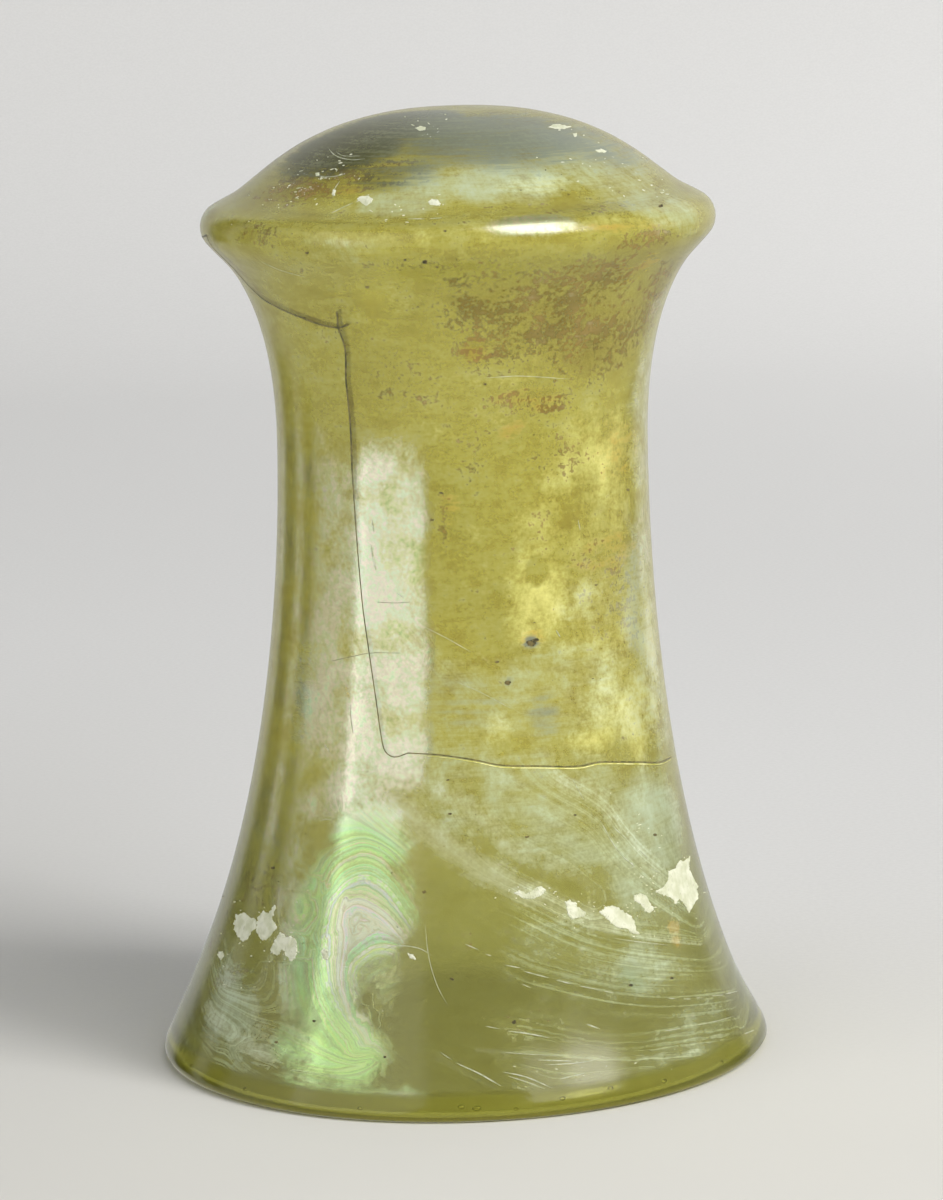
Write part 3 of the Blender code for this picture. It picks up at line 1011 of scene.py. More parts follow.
# White chips on the crown
CHIPS = [
    [(357, 199), (361, 196), (369, 196), (373, 199), (371, 203), (366, 206), (361, 203)],
    [(428, 202), (432, 199), (438, 200), (441, 204), (437, 206), (430, 205)],
    [(415, 128), (420, 126), (426, 127), (425, 130), (419, 131)],
    [(548, 127), (555, 124), (565, 125), (570, 127), (565, 129), (556, 129)],
    [(595, 150), (600, 149), (607, 151), (604, 153), (597, 152)],
    [(573, 134), (577, 133), (577, 136), (574, 137)],
    [(315, 173), (319, 172), (319, 176), (316, 176)],
    [(333, 189), (336, 190), (335, 196), (332, 195)],
]

# Clusters of tiny specks: x, y, half width, half height, a turn in degrees and a count. Those of GLINTS are
# painted glints: white specks where the surface catches the light
GLINTS = [
    (300, 182, 52, 26, -14, 26), (335, 165, 30, 18, -10, 12), (415, 120, 45, 10, 0, 14),
    (560, 122, 40, 9, 8, 8), (600, 160, 60, 26, 16, 18), (640, 185, 30, 16, 20, 8), (400, 214, 60, 8, 0, 12),
    (250, 205, 26, 14, -20, 8), (520, 225, 60, 6, 0, 5), (638, 845, 22, 50, -25, 14),
    (330, 930, 70, 80, 0, 10), (570, 1070, 90, 12, -4, 10),
]
DUST = [
    (246, 925, 24, 22, 0, 12), (270, 925, 26, 24, 0, 12), (285, 947, 26, 22, 0, 12), (240, 960, 36, 26, 0, 8),
    (575, 910, 24, 18, 0, 10), (620, 920, 40, 24, 20, 14), (645, 902, 20, 18, 0, 10),
    (680, 886, 36, 34, 0, 24), (528, 893, 30, 14, 0, 12), (560, 900, 70, 16, 16, 10), (365, 200, 18, 9, 0, 5),
    (434, 203, 14, 8, 0, 4),
]
DARK_SPECKS = [
    (440, 290, 120, 50, 0, 24), (500, 420, 100, 70, 0, 16), (560, 640, 80, 80, 0, 16),
    (480, 850, 150, 80, 0, 16), (300, 900, 70, 90, 0, 10), (450, 255, 150, 10, 0, 10),
    (470, 990, 130, 60, 0, 12), (540, 180, 100, 20, 0, 8),
]

# Dark pits and spots, each a place in the picture and a half width in pixels
PITS = [
    (307, 253, 1.8), (425, 262, 2.4), (405, 260, 1.4), (367, 287, 1.8), (437, 267, 1.3), (485, 384, 1.5),
    (452, 979, 1.8), (514, 1022, 2.2), (531, 643, 4.0), (536, 640, 2.6), (508, 683, 2.8), (497, 662, 1.7),
    (441, 493, 1.6), (432, 520, 1.6), (596, 585, 1.3), (628, 490, 1.4), (575, 815, 1.4), (450, 814, 1.5),
    (527, 837, 1.6), (655, 835, 1.6), (424, 892, 1.8), (631, 985, 1.8), (672, 978, 1.6), (273, 868, 1.8),
    (276, 1042, 1.6), (314, 1021, 1.6), (385, 1057, 1.4), (448, 780, 1.4), (661, 206, 2.0), (445, 231, 1.3),
]

# Pale scratches and a few painted highlights, each a path in the picture and a width in pixels. The two short
# dashes on the crown's ridge are painted highlights
SCRATCHES = [
    ([(505, 965), (520, 968)], 1.6), ([(523, 971), (549, 978)], 1.8), ([(556, 980), (572, 984)], 1.8),
    ([(579, 986), (601, 990)], 1.6), ([(604, 991), (614, 993)], 1.6), ([(667, 998), (676, 999)], 1.6),
    ([(683, 999), (691, 999)], 1.6), ([(696, 998), (703, 998)], 1.4), ([(711, 996), (723, 995)], 1.8),
    ([(725, 994), (737, 991)], 1.8), ([(465, 944), (479, 950)], 1.2), ([(485, 954), (492, 956)], 1.4),
    ([(522, 984), (531, 988)], 1.4), ([(586, 1024), (600, 1029)], 2.0), ([(485, 1026), (500, 1029)], 1.4),
    ([(508, 1031), (530, 1034), (550, 1038)], 2.2), ([(744, 1034), (754, 1030)], 2.0),
    ([(664, 1031), (682, 1028)], 1.2), ([(690, 1026), (712, 1022), (734, 1016)], 1.1),
    ([(425, 925), (429, 958), (437, 985), (448, 1006)], 1.0), ([(425, 627), (450, 640), (471, 652)], 1.1),
    ([(455, 681), (480, 692), (512, 709)], 1.2), ([(456, 1063), (478, 1073), (501, 1086)], 2.4),
    ([(440, 1052), (452, 1060)], 1.3), ([(503, 1072), (526, 1077), (552, 1088)], 1.8),
    ([(508, 1076), (530, 1083), (545, 1089)], 1.4), ([(538, 1060), (572, 1061)], 1.8),
    ([(545, 1065), (585, 1062), (600, 1058)], 1.6), ([(560, 1079), (585, 1073)], 2.0),
    ([(500, 1052), (545, 1055), (572, 1055)], 1.0), ([(380, 952), (395, 946), (418, 948), (433, 956)], 1.4),
    ([(329, 149), (338, 157), (352, 160), (365, 159)], 1.8), ([(336, 152), (344, 156), (360, 156)], 1.2),
    ([(332, 213), (342, 208), (353, 203)], 1.8), ([(340, 181), (334, 190), (333, 198)], 1.4),
    ([(318, 176), (330, 177), (343, 175)], 1.4), ([(408, 219), (425, 219)], 1.6),
    ([(430, 219), (442, 218)], 2.2), ([(484, 378), (520, 376), (569, 379)], 1.0),
    ([(320, 821), (326, 819), (332, 820)], 1.2), ([(600, 820), (612, 842), (622, 856)], 1.4),
    ([(622, 856), (634, 866)], 2.0), ([(612, 826), (628, 840)], 1.3), ([(630, 868), (636, 866)], 1.8),
    ([(640, 851), (648, 858)], 1.5), ([(650, 868), (662, 874)], 1.4), ([(573, 780), (584, 800)], 1.1),
    ([(612, 938), (640, 942), (668, 945)], 1.2), ([(372, 520), (374, 532)], 2.6),
    ([(371, 545), (374, 562), (376, 570)], 2.8), ([(397, 593), (404, 598)], 2.0),
    ([(325, 745), (330, 752)], 1.6), ([(262, 262), (280, 270), (305, 277)], 1.0),
    ([(556, 630), (560, 637)], 2.4), ([(578, 520), (580, 530)], 1.4),
]

# Seed bubbles in the thick rim, each an angle from the front, a height and a half length in millimetres
BUBBLES = [
    (-1, 2.1, 0.26), (1.8, 1.9, 0.32), (18, 2.2, 0.24), (28, 2.5, 0.22), (-20, 1.7, 0.2), (40, 2.0, 0.26),
    (-46, 1.9, 0.22), (9, 1.5, 0.16), (57, 1.8, 0.2), (-65, 2.1, 0.24), (100, 2.0, 0.3), (141, 1.8, 0.22),
    (-118, 2.2, 0.26), (-162, 1.7, 0.3), (176, 2.1, 0.2), (-91, 1.6, 0.2),
]


# Finishes

def tone(red, green, blue):
    """A colour as a picture shows it, each part from 0 to 255, in the shader's own values."""
    return (*(((level / 255 + 0.055) / 1.055) ** 2.4 for level in (red, green, blue)), 1.0)


def glass_grain(finish):
    """The noises and the simple masks that every layer of the glass's finish reads."""
    across, deep, up = finish.axes()
    flow, climb, outside = finish.field("flow"), finish.field("climb"), finish.field("outside")
    dashes = finish.drawn_out(across * 240.0, deep * 240.0, climb * 0.8)
    lumps = finish.grain(230.0, 4.0, 0.65)
    fine = finish.grain(1700.0, 3.0, 0.7)
    return types.SimpleNamespace(
        across=across,
        up=up,
        flow=flow,
        outside=outside,
        dashes=dashes,
        strokes=finish.drawn_out(across * 110.0, deep * 110.0, climb * 1.7),
        threads=finish.drawn_out(flow * 6.0, across * 14.0, up * 14.0),
        lumps=lumps,
        fine=fine,
        mottle=finish.grain(170.0, 2.0, 0.5),
        mixed=dashes * 0.4 + lumps * 0.35 + fine * 0.25,
        body=outside * up.rise(0.0027, 0.0038),
        # Low down the glass and its skin are painted darker: partly the glass's deeper olive, partly painted
        # shade
        low=up.rise(0.046, 0.016),
        relief=finish.bump(lumps * 0.6 + fine * 0.25, 0.00004),
    )


def weathering_and_painted_light(finish, grain):
    """How much of each cover lies at a spot: its field, broken up by the grain. The glow, the crown's grey and
    the sparks are painted light, in part or whole.
    """
    dashes, strokes, threads = grain.dashes, grain.strokes, grain.threads
    lumps, fine, mottle = grain.lumps, grain.fine, grain.mottle
    field = finish.field
    flecks = dashes * 0.3 + fine * 0.45 + lumps * 0.25
    silky = (threads * 0.85 + fine * 0.15).rise(0.46, 0.62) * grain.low * field("steep").rise(0.08, 0.25)
    hazy = field("haze") * 0.46 + mottle * 0.3 + lumps * 0.4 + strokes * 0.3 + threads * 0.3 + fine * 0.25
    return types.SimpleNamespace(
        milky=(field("milk") * 0.35 + threads * 0.6 + fine * 0.15).rise(0.48, 0.95),
        cloudy=(field("cloud") * 0.42 + lumps * 0.5 + threads * 0.2 + fine * 0.15).rise(0.54, 1.0),
        silky=silky * abs(grain.across + 0.001).rise(0.004, 0.009),
        hazy=hazy.rise(0.82, 1.34),
        brown=(field("stain") * 0.17 + flecks).rise(0.57, 0.68),
        # The glow patches: partly a pale deposit, partly painted light
        lit=(field("glow") * 0.5 + mottle * 0.7 + lumps * 0.9 + fine * 0.4).rise(1.1, 1.75),
        warm=(field("amber") * 0.26 + dashes * 0.7 + fine * 0.3).rise(0.58, 0.82),
        # On the crown, a painted dark reflection; lower down, grey weathering
        grey_and_painted_reflection=(field("grey") * 0.42 + lumps * 0.25 + strokes * 0.65 + fine * 0.2).rise(0.62, 1.05),
        # Painted glints: near-white specks
        spark=(field("glints") * 0.2 + fine).rise(0.85, 0.9),
    )


def clear_glass(finish, grain, wear_and_painted_light):
    """The olive glass itself: darker low down, partly its deeper olive and partly painted shade, and darker
    under the stains and the grey, which on the crown is a painted dark reflection.
    """
    tint = finish.blend(grain.mixed.rise(0.4, 0.6), (0.84, 0.79, 0.22, 1), (0.96, 0.92, 0.40, 1))
    tint = finish.blend(grain.low * 0.8, tint, (0.62, 0.62, 0.25, 1))
    tint = finish.blend(wear_and_painted_light.grey_and_painted_reflection * 0.7, tint, (0.36, 0.37, 0.24, 1))
    tint = finish.blend(wear_and_painted_light.brown * 0.5, tint, (0.56, 0.46, 0.22, 1))
    tint = finish.blend(grain.outside, (0.96, 0.95, 0.70, 1), tint)
    roughness = 0.2 - 0.06 * grain.outside - grain.up.rise(0.0038, 0.0027) * 0.1
    return finish.surface(
        base_color=tint, roughness=roughness, transmission_weight=1.0, ior=1.5, normal=grain.relief
    )


def clouded_skin(finish, grain, wear_and_painted_light, settings):
    """The weathered skin with its painted light, from the lowest layer up: painted shade low down, streaks,
    glow, amber, stains, haze, grey, clouds, milk, painted glints, rim.
    """
    up, strokes, fine = grain.up, grain.strokes, grain.fine
    ages = [
        (0.36, tone(164, 146, 62)),
        (0.44, tone(186, 174, 78)),
        (0.50, tone(198, 190, 92)),
        (0.56, tone(204, 199, 110)),
        (0.64, tone(206, 207, 134)),
    ]
    earth = finish.blend(grain.mottle.rise(0.4, 0.6), tuple(settings.stain_colour), tone(134, 102, 58))
    # Painted reflection on the crown: dark to the left and pale grey-blue to the right, with lighter streaks
    shade = finish.blend(grain.across.rise(-0.011, 0.005), tone(52, 56, 26), tone(116, 124, 114))
    brushwork = (strokes * 0.6 + fine * 0.4).rise(0.46, 0.62)
    shade = finish.blend(brushwork * 0.3, shade, tone(150, 156, 122))
    rim = grain.outside * (1.0 - grain.body)
    # The rim's lowest edge is painted bright yellow: a painted highlight where light gathers in the rim
    rim_colour = finish.blend(up.rise(0.0012, 0.0003), tone(150, 148, 44), tone(216, 208, 60))
    colour = finish.ramp(grain.mixed, ages)
    for share, layer in (
        # Darker low down: partly the glass's deeper olive, partly painted shade
        (grain.low * 0.75, tone(132, 136, 78)),
        (wear_and_painted_light.silky * 0.65, tone(176, 184, 126)),
        # The glow: partly a pale deposit, partly painted light
        (wear_and_painted_light.lit * 0.9, tuple(settings.glow_colour)),
        (wear_and_painted_light.warm * 0.7, tone(184, 146, 48)),
        (wear_and_painted_light.brown.rise(0.0, 0.6) * 0.8, earth),
        (wear_and_painted_light.hazy * 0.85, tuple(settings.haze_colour)),
        # Painted reflection on the crown, grey weathering lower down
        (wear_and_painted_light.grey_and_painted_reflection * 0.92, shade),
        (wear_and_painted_light.cloudy * 0.62, tone(204, 210, 182)),
        (wear_and_painted_light.milky * 0.75, tone(216, 222, 196)),
        # Painted glints
        (wear_and_painted_light.spark, tone(244, 244, 232)),
        (rim, rim_colour),
    ):
        colour = finish.blend(share, colour, layer)
    return finish.surface(base_color=colour, roughness=0.24, ior=1.45, normal=grain.relief)


def skin_cover(grain, wear_and_painted_light):
    """How much of the glass its weathered skin hides."""
    # Where painted light lies, in the glow, the crown's grey and the sparks, the skin hides more of the glass
    cover = 0.44 - 0.16 * grain.low + 0.4 * wear_and_painted_light.lit + 0.3 * wear_and_painted_light.warm + 0.35 * wear_and_painted_light.brown.rise(0.4, 1.0)
    cover = cover + 0.45 * wear_and_painted_light.grey_and_painted_reflection + 0.35 * wear_and_painted_light.hazy + 0.3 * wear_and_painted_light.milky + 0.35 * wear_and_painted_light.cloudy
    cover = cover + 0.2 * wear_and_painted_light.silky + wear_and_painted_light.spark
    rim = grain.outside * (1.0 - grain.body)
    return (cover.least(0.92) * grain.body).most(rim * 0.3)


# The pearly film's colours, each a place along a ramp and a colour: in soft patches, across the swirl's flow,
# and in the fine rainbow that runs over the flow
SOFT_PEARL = [
    (0.36, (0.58, 0.94, 0.52, 1)),
    (0.42, (0.90, 0.98, 0.62, 1)),
    (0.46, (0.94, 0.92, 0.74, 1)),
    (0.50, (0.80, 0.98, 0.74, 1)),
    (0.54, (0.98, 0.86, 0.80, 1)),
    (0.58, (0.94, 0.98, 0.78, 1)),
    (0.64, (0.64, 0.94, 0.62, 1)),
]
SWIRL_PEARL = [
    (0.00, (0.64, 0.92, 0.38, 1)),
    (0.12, (0.62, 0.98, 0.46, 1)),
    (0.22, (0.54, 1.0, 0.34, 1)),
    (0.265, (0.60, 0.92, 0.32, 1)),
    (0.275, (0.96, 0.80, 0.70, 1)),
    (0.29, (0.66, 0.86, 0.36, 1)),
    (0.38, (0.46, 0.98, 0.30, 1)),
    (0.43, (0.74, 1.0, 0.50, 1)),
    (0.44, (0.98, 0.95, 0.90, 1)),
    (0.455, (0.54, 0.72, 0.70, 1)),
    (0.50, (0.60, 0.76, 0.40, 1)),
    (0.56, (0.96, 0.82, 0.76, 1)),
    (0.62, (0.86, 0.76, 0.76, 1)),
    (0.66, (0.52, 0.92, 0.46, 1)),
    (0.70, (0.66, 0.84, 0.42, 1)),
    (0.715, (0.98, 0.93, 0.86, 1)),
    (0.74, (0.66, 0.74, 0.32, 1)),
    (1.00, (0.74, 0.76, 0.40, 1)),
]
RAINBOW = [
    (0.00, (0.50, 0.94, 0.46, 1)),
    (0.22, (0.78, 0.95, 0.42, 1)),
    (0.38, (0.98, 0.86, 0.62, 1)),
    (0.50, (0.96, 0.76, 0.78, 1)),
    (0.62, (0.78, 0.76, 0.86, 1)),
    (0.78, (0.50, 0.86, 0.74, 1)),
    (1.00, (0.50, 0.94, 0.46, 1)),
]


def pearly_film(finish, grain):
    """The film's sheen: soft pearl on the body, and bands of colour along the flow in the swirl."""
    flow, up, threads = grain.flow, grain.up, grain.threads
    lumps, fine, mottle = grain.lumps, grain.fine, grain.mottle
    soft = finish.ramp(mottle * 0.35 + lumps * 0.35 + fine * 0.3, SOFT_PEARL)
    wander = (fine - 0.5) * 1.2 + (threads - 0.5) * 1.6 + (lumps - 0.5) * 0.8
    banded = finish.ramp((flow + wander + 2.0) * (1 / 7), SWIRL_PEARL)
    hue = flow * 1.7 + threads * 4.0 + lumps
    rainbow = finish.ramp(hue.maths("FRACT", hue), RAINBOW)
    phase = flow * 26.0 + threads * 16.0 + fine * 3.0
    lines = phase.maths("SINE", phase).rise(0.1, 1.0)
    banded = finish.blend(0.34, banded, rainbow)
    banded = finish.blend(up.rise(0.016, 0.006) * 0.45, banded, (0.66, 0.94, 0.26, 1))
    banded = finish.blend(lines * 0.4, banded, (0.36, 0.38, 0.20, 1))
    pearl = finish.blend(finish.field("swirl"), soft, banded)
    roughness = 0.14 + 0.16 * up.rise(0.085, 0.095)
    return finish.surface(base_color=pearl, roughness=roughness, metallic=1.0, normal=grain.relief)


def weathered_glass(settings):
    """Olive glass, clear in its rim and clouded above it by a skin, milky wisps, stains and a pearly film."""
    finish = Finish(bpy.data.materials.new("weathered_olive_glass"))
    grain = glass_grain(finish)
    wear_and_painted_light = weathering_and_painted_light(finish, grain)
    skin = clouded_skin(finish, grain, wear_and_painted_light, settings)
    clouded = finish.layered(skin_cover(grain, wear_and_painted_light), clear_glass(finish, grain, wear_and_painted_light), skin)
    film = finish.field("film")
    share = film * 0.5 + grain.mottle * 0.7 + grain.lumps * 0.8 + grain.threads * 0.4 + grain.fine * 0.5
    share = share.rise(1.25, 1.95) * film.rise(0.0, 0.5) * grain.body
    filmed = finish.layered(share * 0.54, clouded, pearly_film(finish, grain))
    return finish.done(filmed, absorbing(finish, settings))


def absorbing(finish, settings):
    """The glass's own colour, deeper where the wall is thick or seen edge on."""
    sockets = {"Color": tuple(settings.glass_colour), "Density": settings.glass_depth}
    return finish.node("ShaderNodeVolumeAbsorption", None, sockets, "Volume")


def grained(name, scale, edges, dark, pale, relief, **looks):
    """A plain finish that mottles between two colours, with a fine relief of the same grain."""
    finish = Finish(bpy.data.materials.new(name))
    fine = finish.grain(scale)
    colour = finish.blend(fine.rise(*edges), dark, pale)
    return finish.done(finish.surface(base_color=colour, normal=finish.bump(fine, relief), **looks))


def crack_resin():
    """The old adhesive in the mended break, brown and glossy."""
    dark, pale = (0.08, 0.08, 0.028, 1), (0.24, 0.20, 0.07, 1)
    return grained("crack_resin", 1500.0, (0.35, 0.65), dark, pale, 0.00003, roughness=0.35)


def lit_edge():
    """The bevelled edge of the break, where the light leaves the glass."""
    dark, pale = (0.60, 0.58, 0.12, 1), (0.92, 0.90, 0.40, 1)
    return grained("lit_edge", 900.0, (0.4, 0.6), dark, pale, 0.00002, roughness=0.3)


def dark_pit():
    dark, pale = (0.045, 0.04, 0.016, 1), (0.18, 0.14, 0.045, 1)
    return grained("dark_pit", 2600.0, (0.4, 0.6), dark, pale, 0.00005, roughness=0.6)


def pale_scratch_and_highlight():
    # Also the finish of the painted highlights among the scratches
    dark, pale = (0.50, 0.54, 0.33, 1), (0.80, 0.82, 0.66, 1)
    return grained("pale_scratch_and_highlight", 1800.0, (0.35, 0.65), dark, pale, 0.00003, roughness=0.4, alpha=0.6)


def crust_and_painted_glints(settings):
    # The white crust's finish, also given to the painted glints
    finish = Finish(bpy.data.materials.new("crust_and_painted_glints"))
    lumps, fine = finish.grain(700.0), finish.grain(2400.0)
    colour = finish.blend(lumps.rise(0.35, 0.65), (0.60, 0.62, 0.43, 1), tuple(settings.crust_colour))
    colour = finish.blend(fine.rise(0.62, 0.72) * 0.5, colour, (0.36, 0.35, 0.24, 1))
    relief = finish.bump(lumps + fine * 0.6, 0.00012)
    return finish.done(finish.surface(base_color=colour, roughness=0.85, normal=relief))


def trapped_air():
    """A bubble's skin, seen from the glass round it."""
    finish = Finish(bpy.data.materials.new("trapped_air"))
    fine = finish.grain(3000.0, 2.0)
    colour = finish.blend(fine, (0.93, 0.92, 0.72, 1), (1.0, 1.0, 0.9, 1))
    return finish.done(finish.surface(base_color=colour, roughness=0.03, transmission_weight=1.0, ior=0.667))


def paper():
    """The backdrop, a little darker and warmer towards the camera, and darker and warmer to the left, where a
    shadow is painted.
    """
    finish = Finish(bpy.data.materials.new("backdrop_paper"))
    tooth = finish.grain(1400.0)
    across, deep, _ = finish.axes()
    colour = finish.blend(tooth.rise(0.3, 0.7), (0.765, 0.76, 0.75, 1), (0.795, 0.79, 0.78, 1))
    colour = finish.blend(deep.rise(0.08, -0.07), colour, (0.74, 0.727, 0.69, 1))
    # Painted shadow to the left of the beaker
    to_left = across.rise(0.0, -0.08) * deep.rise(0.3, 0.05) * 0.6
    colour = finish.blend(to_left, colour, (0.62, 0.61, 0.585, 1))
    return finish.done(finish.surface(base_color=colour, roughness=0.9))


def studio_room():
    """What the glass reflects: pale paper behind, dark gaps beside it, the lit floor and a dim ceiling."""
    finish = Finish(bpy.data.worlds.new("studio_room"), "Generated")
    right, back, up = finish.axes()
    turn = right.maths("ARCTAN2", right, 0.0 - back) * (0.5 / math.pi) + 0.5
    around = finish.ramp(turn, [(at / 360 + 0.5, (level, level, level, 1)) for at, level in ROOM])
    colour = finish.blend(up.rise(0.6, 0.8), around, (0.20, 0.21, 0.22, 1))
    colour = finish.blend(up.rise(-0.24, -0.30), colour, (0.55, 0.545, 0.53, 1))
    light = finish.node("ShaderNodeBackground", None, {"Color": colour, "Strength": 1.0}, "Background")
    return finish.done(light, output="ShaderNodeOutputWorld")


# Brightness of the room round the beaker, by the angle from the camera's side, + to the right
ROOM = [
    (-180, 0.55), (-160, 0.55), (-148, 0.6), (-141, 0.02), (-127, 0.02), (-123.5, 0.6), (-118.5, 0.6),
    (-115, 0.03), (-107, 0.03), (-102.5, 0.5), (-90, 0.6), (-80, 0.65), (-66, 0.65), (-60, 0.14), (0, 0.14),
    (60, 0.16), (85, 0.45), (110, 0.5), (119, 0.2), (131, 0.2), (136, 0.8), (158, 0.7), (180, 0.55),
]


# Settings that a user would change

def length_setting(name, description, default):
    return bpy.props.FloatProperty(
        name=name, description=description, default=default, unit="LENGTH", precision=5
    )


def colour_setting(name, description, default):
    return bpy.props.FloatVectorProperty(
        name=name, description=description, default=default, subtype="COLOR", size=4, min=0, max=1
    )


class GlassSettings(bpy.types.PropertyGroup):
    turn_steps: bpy.props.IntProperty(
        name="Turn steps", description="Facets round the beaker", default=300, min=48, max=360
    )
    fineness: length_setting("Fineness", "Longest facet up the outside", 0.7 * MM)
    glass_colour: colour_setting("Glass colour", "What the glass lets through", (0.80, 0.82, 0.20, 1))
    glass_depth: bpy.props.FloatProperty(
        name="Glass depth", description="How fast the glass takes up light, per metre", default=150.0, min=0
    )
    haze_colour: colour_setting("Haze colour", "The milky haze on the body", tone(194, 209, 182))
    # The glow colour: partly a pale deposit's, partly painted light
    glow_colour: colour_setting("Glow colour", "The pale yellow patches", tone(230, 226, 136))
    stain_colour: colour_setting("Stain colour", "The brown stains", tone(108, 82, 36))


class MarkSettings(bpy.types.PropertyGroup):
    break_width: length_setting("Break width", "Width of the mended break's line", 0.22 * MM)
    crack_width: length_setting("Crack width", "Width of the small cracks", 0.05 * MM)
    crust_thickness: length_setting("Crust thickness", "How proud the crust stands", 0.09 * MM)
    crust_colour: colour_setting("Crust colour", "The crust at its palest", (0.76, 0.77, 0.61, 1))


class StageSettings(bpy.types.PropertyGroup):
    aim: bpy.props.FloatVectorProperty(
        name="Aim",
        description="Point that the camera looks at",
        default=(0.00233, 0.0, 0.05411),
        subtype="TRANSLATION",
    )
    distance: bpy.props.FloatProperty(
        name="Distance", description="From the camera to the aim", default=0.55, unit="LENGTH"
    )
    pitch: bpy.props.FloatProperty(
        name="Pitch",
        description="How far the camera looks down",
        default=math.radians(9.905),
        unit="ROTATION",
    )
    roll: bpy.props.FloatProperty(
        name="Roll",
        description="How far the camera is tipped about its view",
        default=math.radians(-1.776),
        unit="ROTATION",
    )
    lens: bpy.props.FloatProperty(
        name="Lens", description="Focal length in millimetres, for a 36 mm long side", default=138.09
    )


# The pieces

def shape_and_sight(context):
    shape = beaker_shape(context.scene.beaker_glass.fineness)
    return shape, Sight(shape, context.scene.beaker_stage)


def finished(piece, material):
    """Gives a piece its finish and its body."""
    piece.data.materials.clear()
    piece.data.materials.append(material)
    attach(piece, BODY)


class BEAKER_OT_glass(bpy.types.Operator):
    """Make the beaker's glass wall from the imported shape"""

    bl_idname = "beaker.glass"
    bl_label = "Glass"

    def execute(self, context):
        shape, sight = shape_and_sight(context)
        shell = glass_shell(shape, context.scene.beaker_glass)
        lay_fields(shape, shell, sight)
        move_to(shell.data, shape.leaned(positions_of(shell.data)))
        finished(shell, weathered_glass(context.scene.beaker_glass))
        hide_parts(NODE)
        return {"FINISHED"}


def run_round(angles, heights):
    """The break run on from its first point, round the side that the picture doesn't show."""
    before = np.linspace(angles[0] - RUN_ON, angles[0] - 1, 30)
    wave = heights[0] + 0.6 * MM * np.sin(np.linspace(-5, 0, 30))
    return np.concatenate([before, angles]), np.concatenate([wave, heights])


class BEAKER_OT_cracks(bpy.types.Operator):
    """Make the mended break and the small cracks beside it"""

    bl_idname = "beaker.cracks"
    bl_label = "Cracks"

    def execute(self, context):
        shape, sight = shape_and_sight(context)
        marks = context.scene.beaker_marks
        strips = []
        for number, path in enumerate(BREAK):
            angles, heights = line_on_glass(sight, path)
            if number == 0:
                angles, heights = run_round(angles, heights)
            width = marks.break_width * (FINE_BREAK if number in FINE_PATHS else 1.0)
            strips.append(wall_strip(shape, angles, heights, BREAK_DEPTH, BREAK_PROUD, width))
        for path in CRACKS:
            angles, heights = line_on_glass(sight, path)
            strips.append(wall_strip(shape, angles, heights, CRACK_DEPTH, CRACK_PROUD, marks.crack_width))
        finished(joined("mended_break", strips), crack_resin())
        edge = [(x, y + EDGE_DROP) for x, y in BREAK[LIT_PATH]]
        lit_strip = surface_strip(shape, sight, edge, EDGE_WIDTH, CRACK_PROUD)
        finished(joined("break_edge", [lit_strip]), lit_edge())
        return {"FINISHED"}


class BEAKER_OT_crust(bpy.types.Operator):
    """Make the white crust on the body, its dust, the chips on the crown and the painted glints"""

    bl_idname = "beaker.crust"
    bl_label = "Crust"

    def execute(self, context):
        shape, sight = shape_and_sight(context)
        thickness = context.scene.beaker_marks.crust_thickness
        flakes = [flake(shape, sight, outline, thickness, seed) for seed, outline in enumerate(CRUST)]
        thin = 0.5 * thickness
        chips = [flake(shape, sight, outline, thin, seed + 50, 0.6) for seed, outline in enumerate(CHIPS)]
        finish = crust_and_painted_glints(context.scene.beaker_marks)
        finished(joined("white_crust", flakes), finish)
        finished(joined("crown_chips", chips), finish)
        finished(specks("crust_dust", shape, sight, scattered(DUST, 3, 1.6)), finish)
        # Painted glints, white specks in the crust's finish
        finished(specks("glints", shape, sight, scattered(GLINTS, 4, 2.4)), finish)
        return {"FINISHED"}


class BEAKER_OT_pits(bpy.types.Operator):
    """Make the dark pits in the weathered surface"""

    bl_idname = "beaker.pits"
    bl_label = "Pits"

    def execute(self, context):
        shape, sight = shape_and_sight(context)
        pits = []
        for seed, (x, y, half_width) in enumerate(PITS):
            turns = [math.tau * step / 9 for step in range(9)]
            wide, tall = 1.2 * half_width, 0.8 * half_width
            outline = [(x + wide * math.cos(turn), y + tall * math.sin(turn)) for turn in turns]
            pits.append(flake(shape, sight, outline, PIT_THICKNESS, seed + 100, 0.35 * half_width))
        finish = dark_pit()
        finished(joined("dark_pits", pits), finish)
        finished(specks("dark_specks", shape, sight, scattered(DARK_SPECKS, 5, 1.2)), finish)
        return {"FINISHED"}


class BEAKER_OT_scratches(bpy.types.Operator):
    """Make the pale scratches and streaks, and the painted highlights among them"""

    bl_idname = "beaker.scratches"
    bl_label = "Scratches"

    def execute(self, context):
        shape, sight = shape_and_sight(context)
        strips = []
        for path, width in SCRATCHES:
            real_width = 0.55 * width / PIXELS_PER_MM * MM
            strips.append(surface_strip(shape, sight, path, real_width, CRACK_PROUD))
        finished(joined("pale_scratches_and_highlights", strips), pale_scratch_and_highlight())
        return {"FINISHED"}


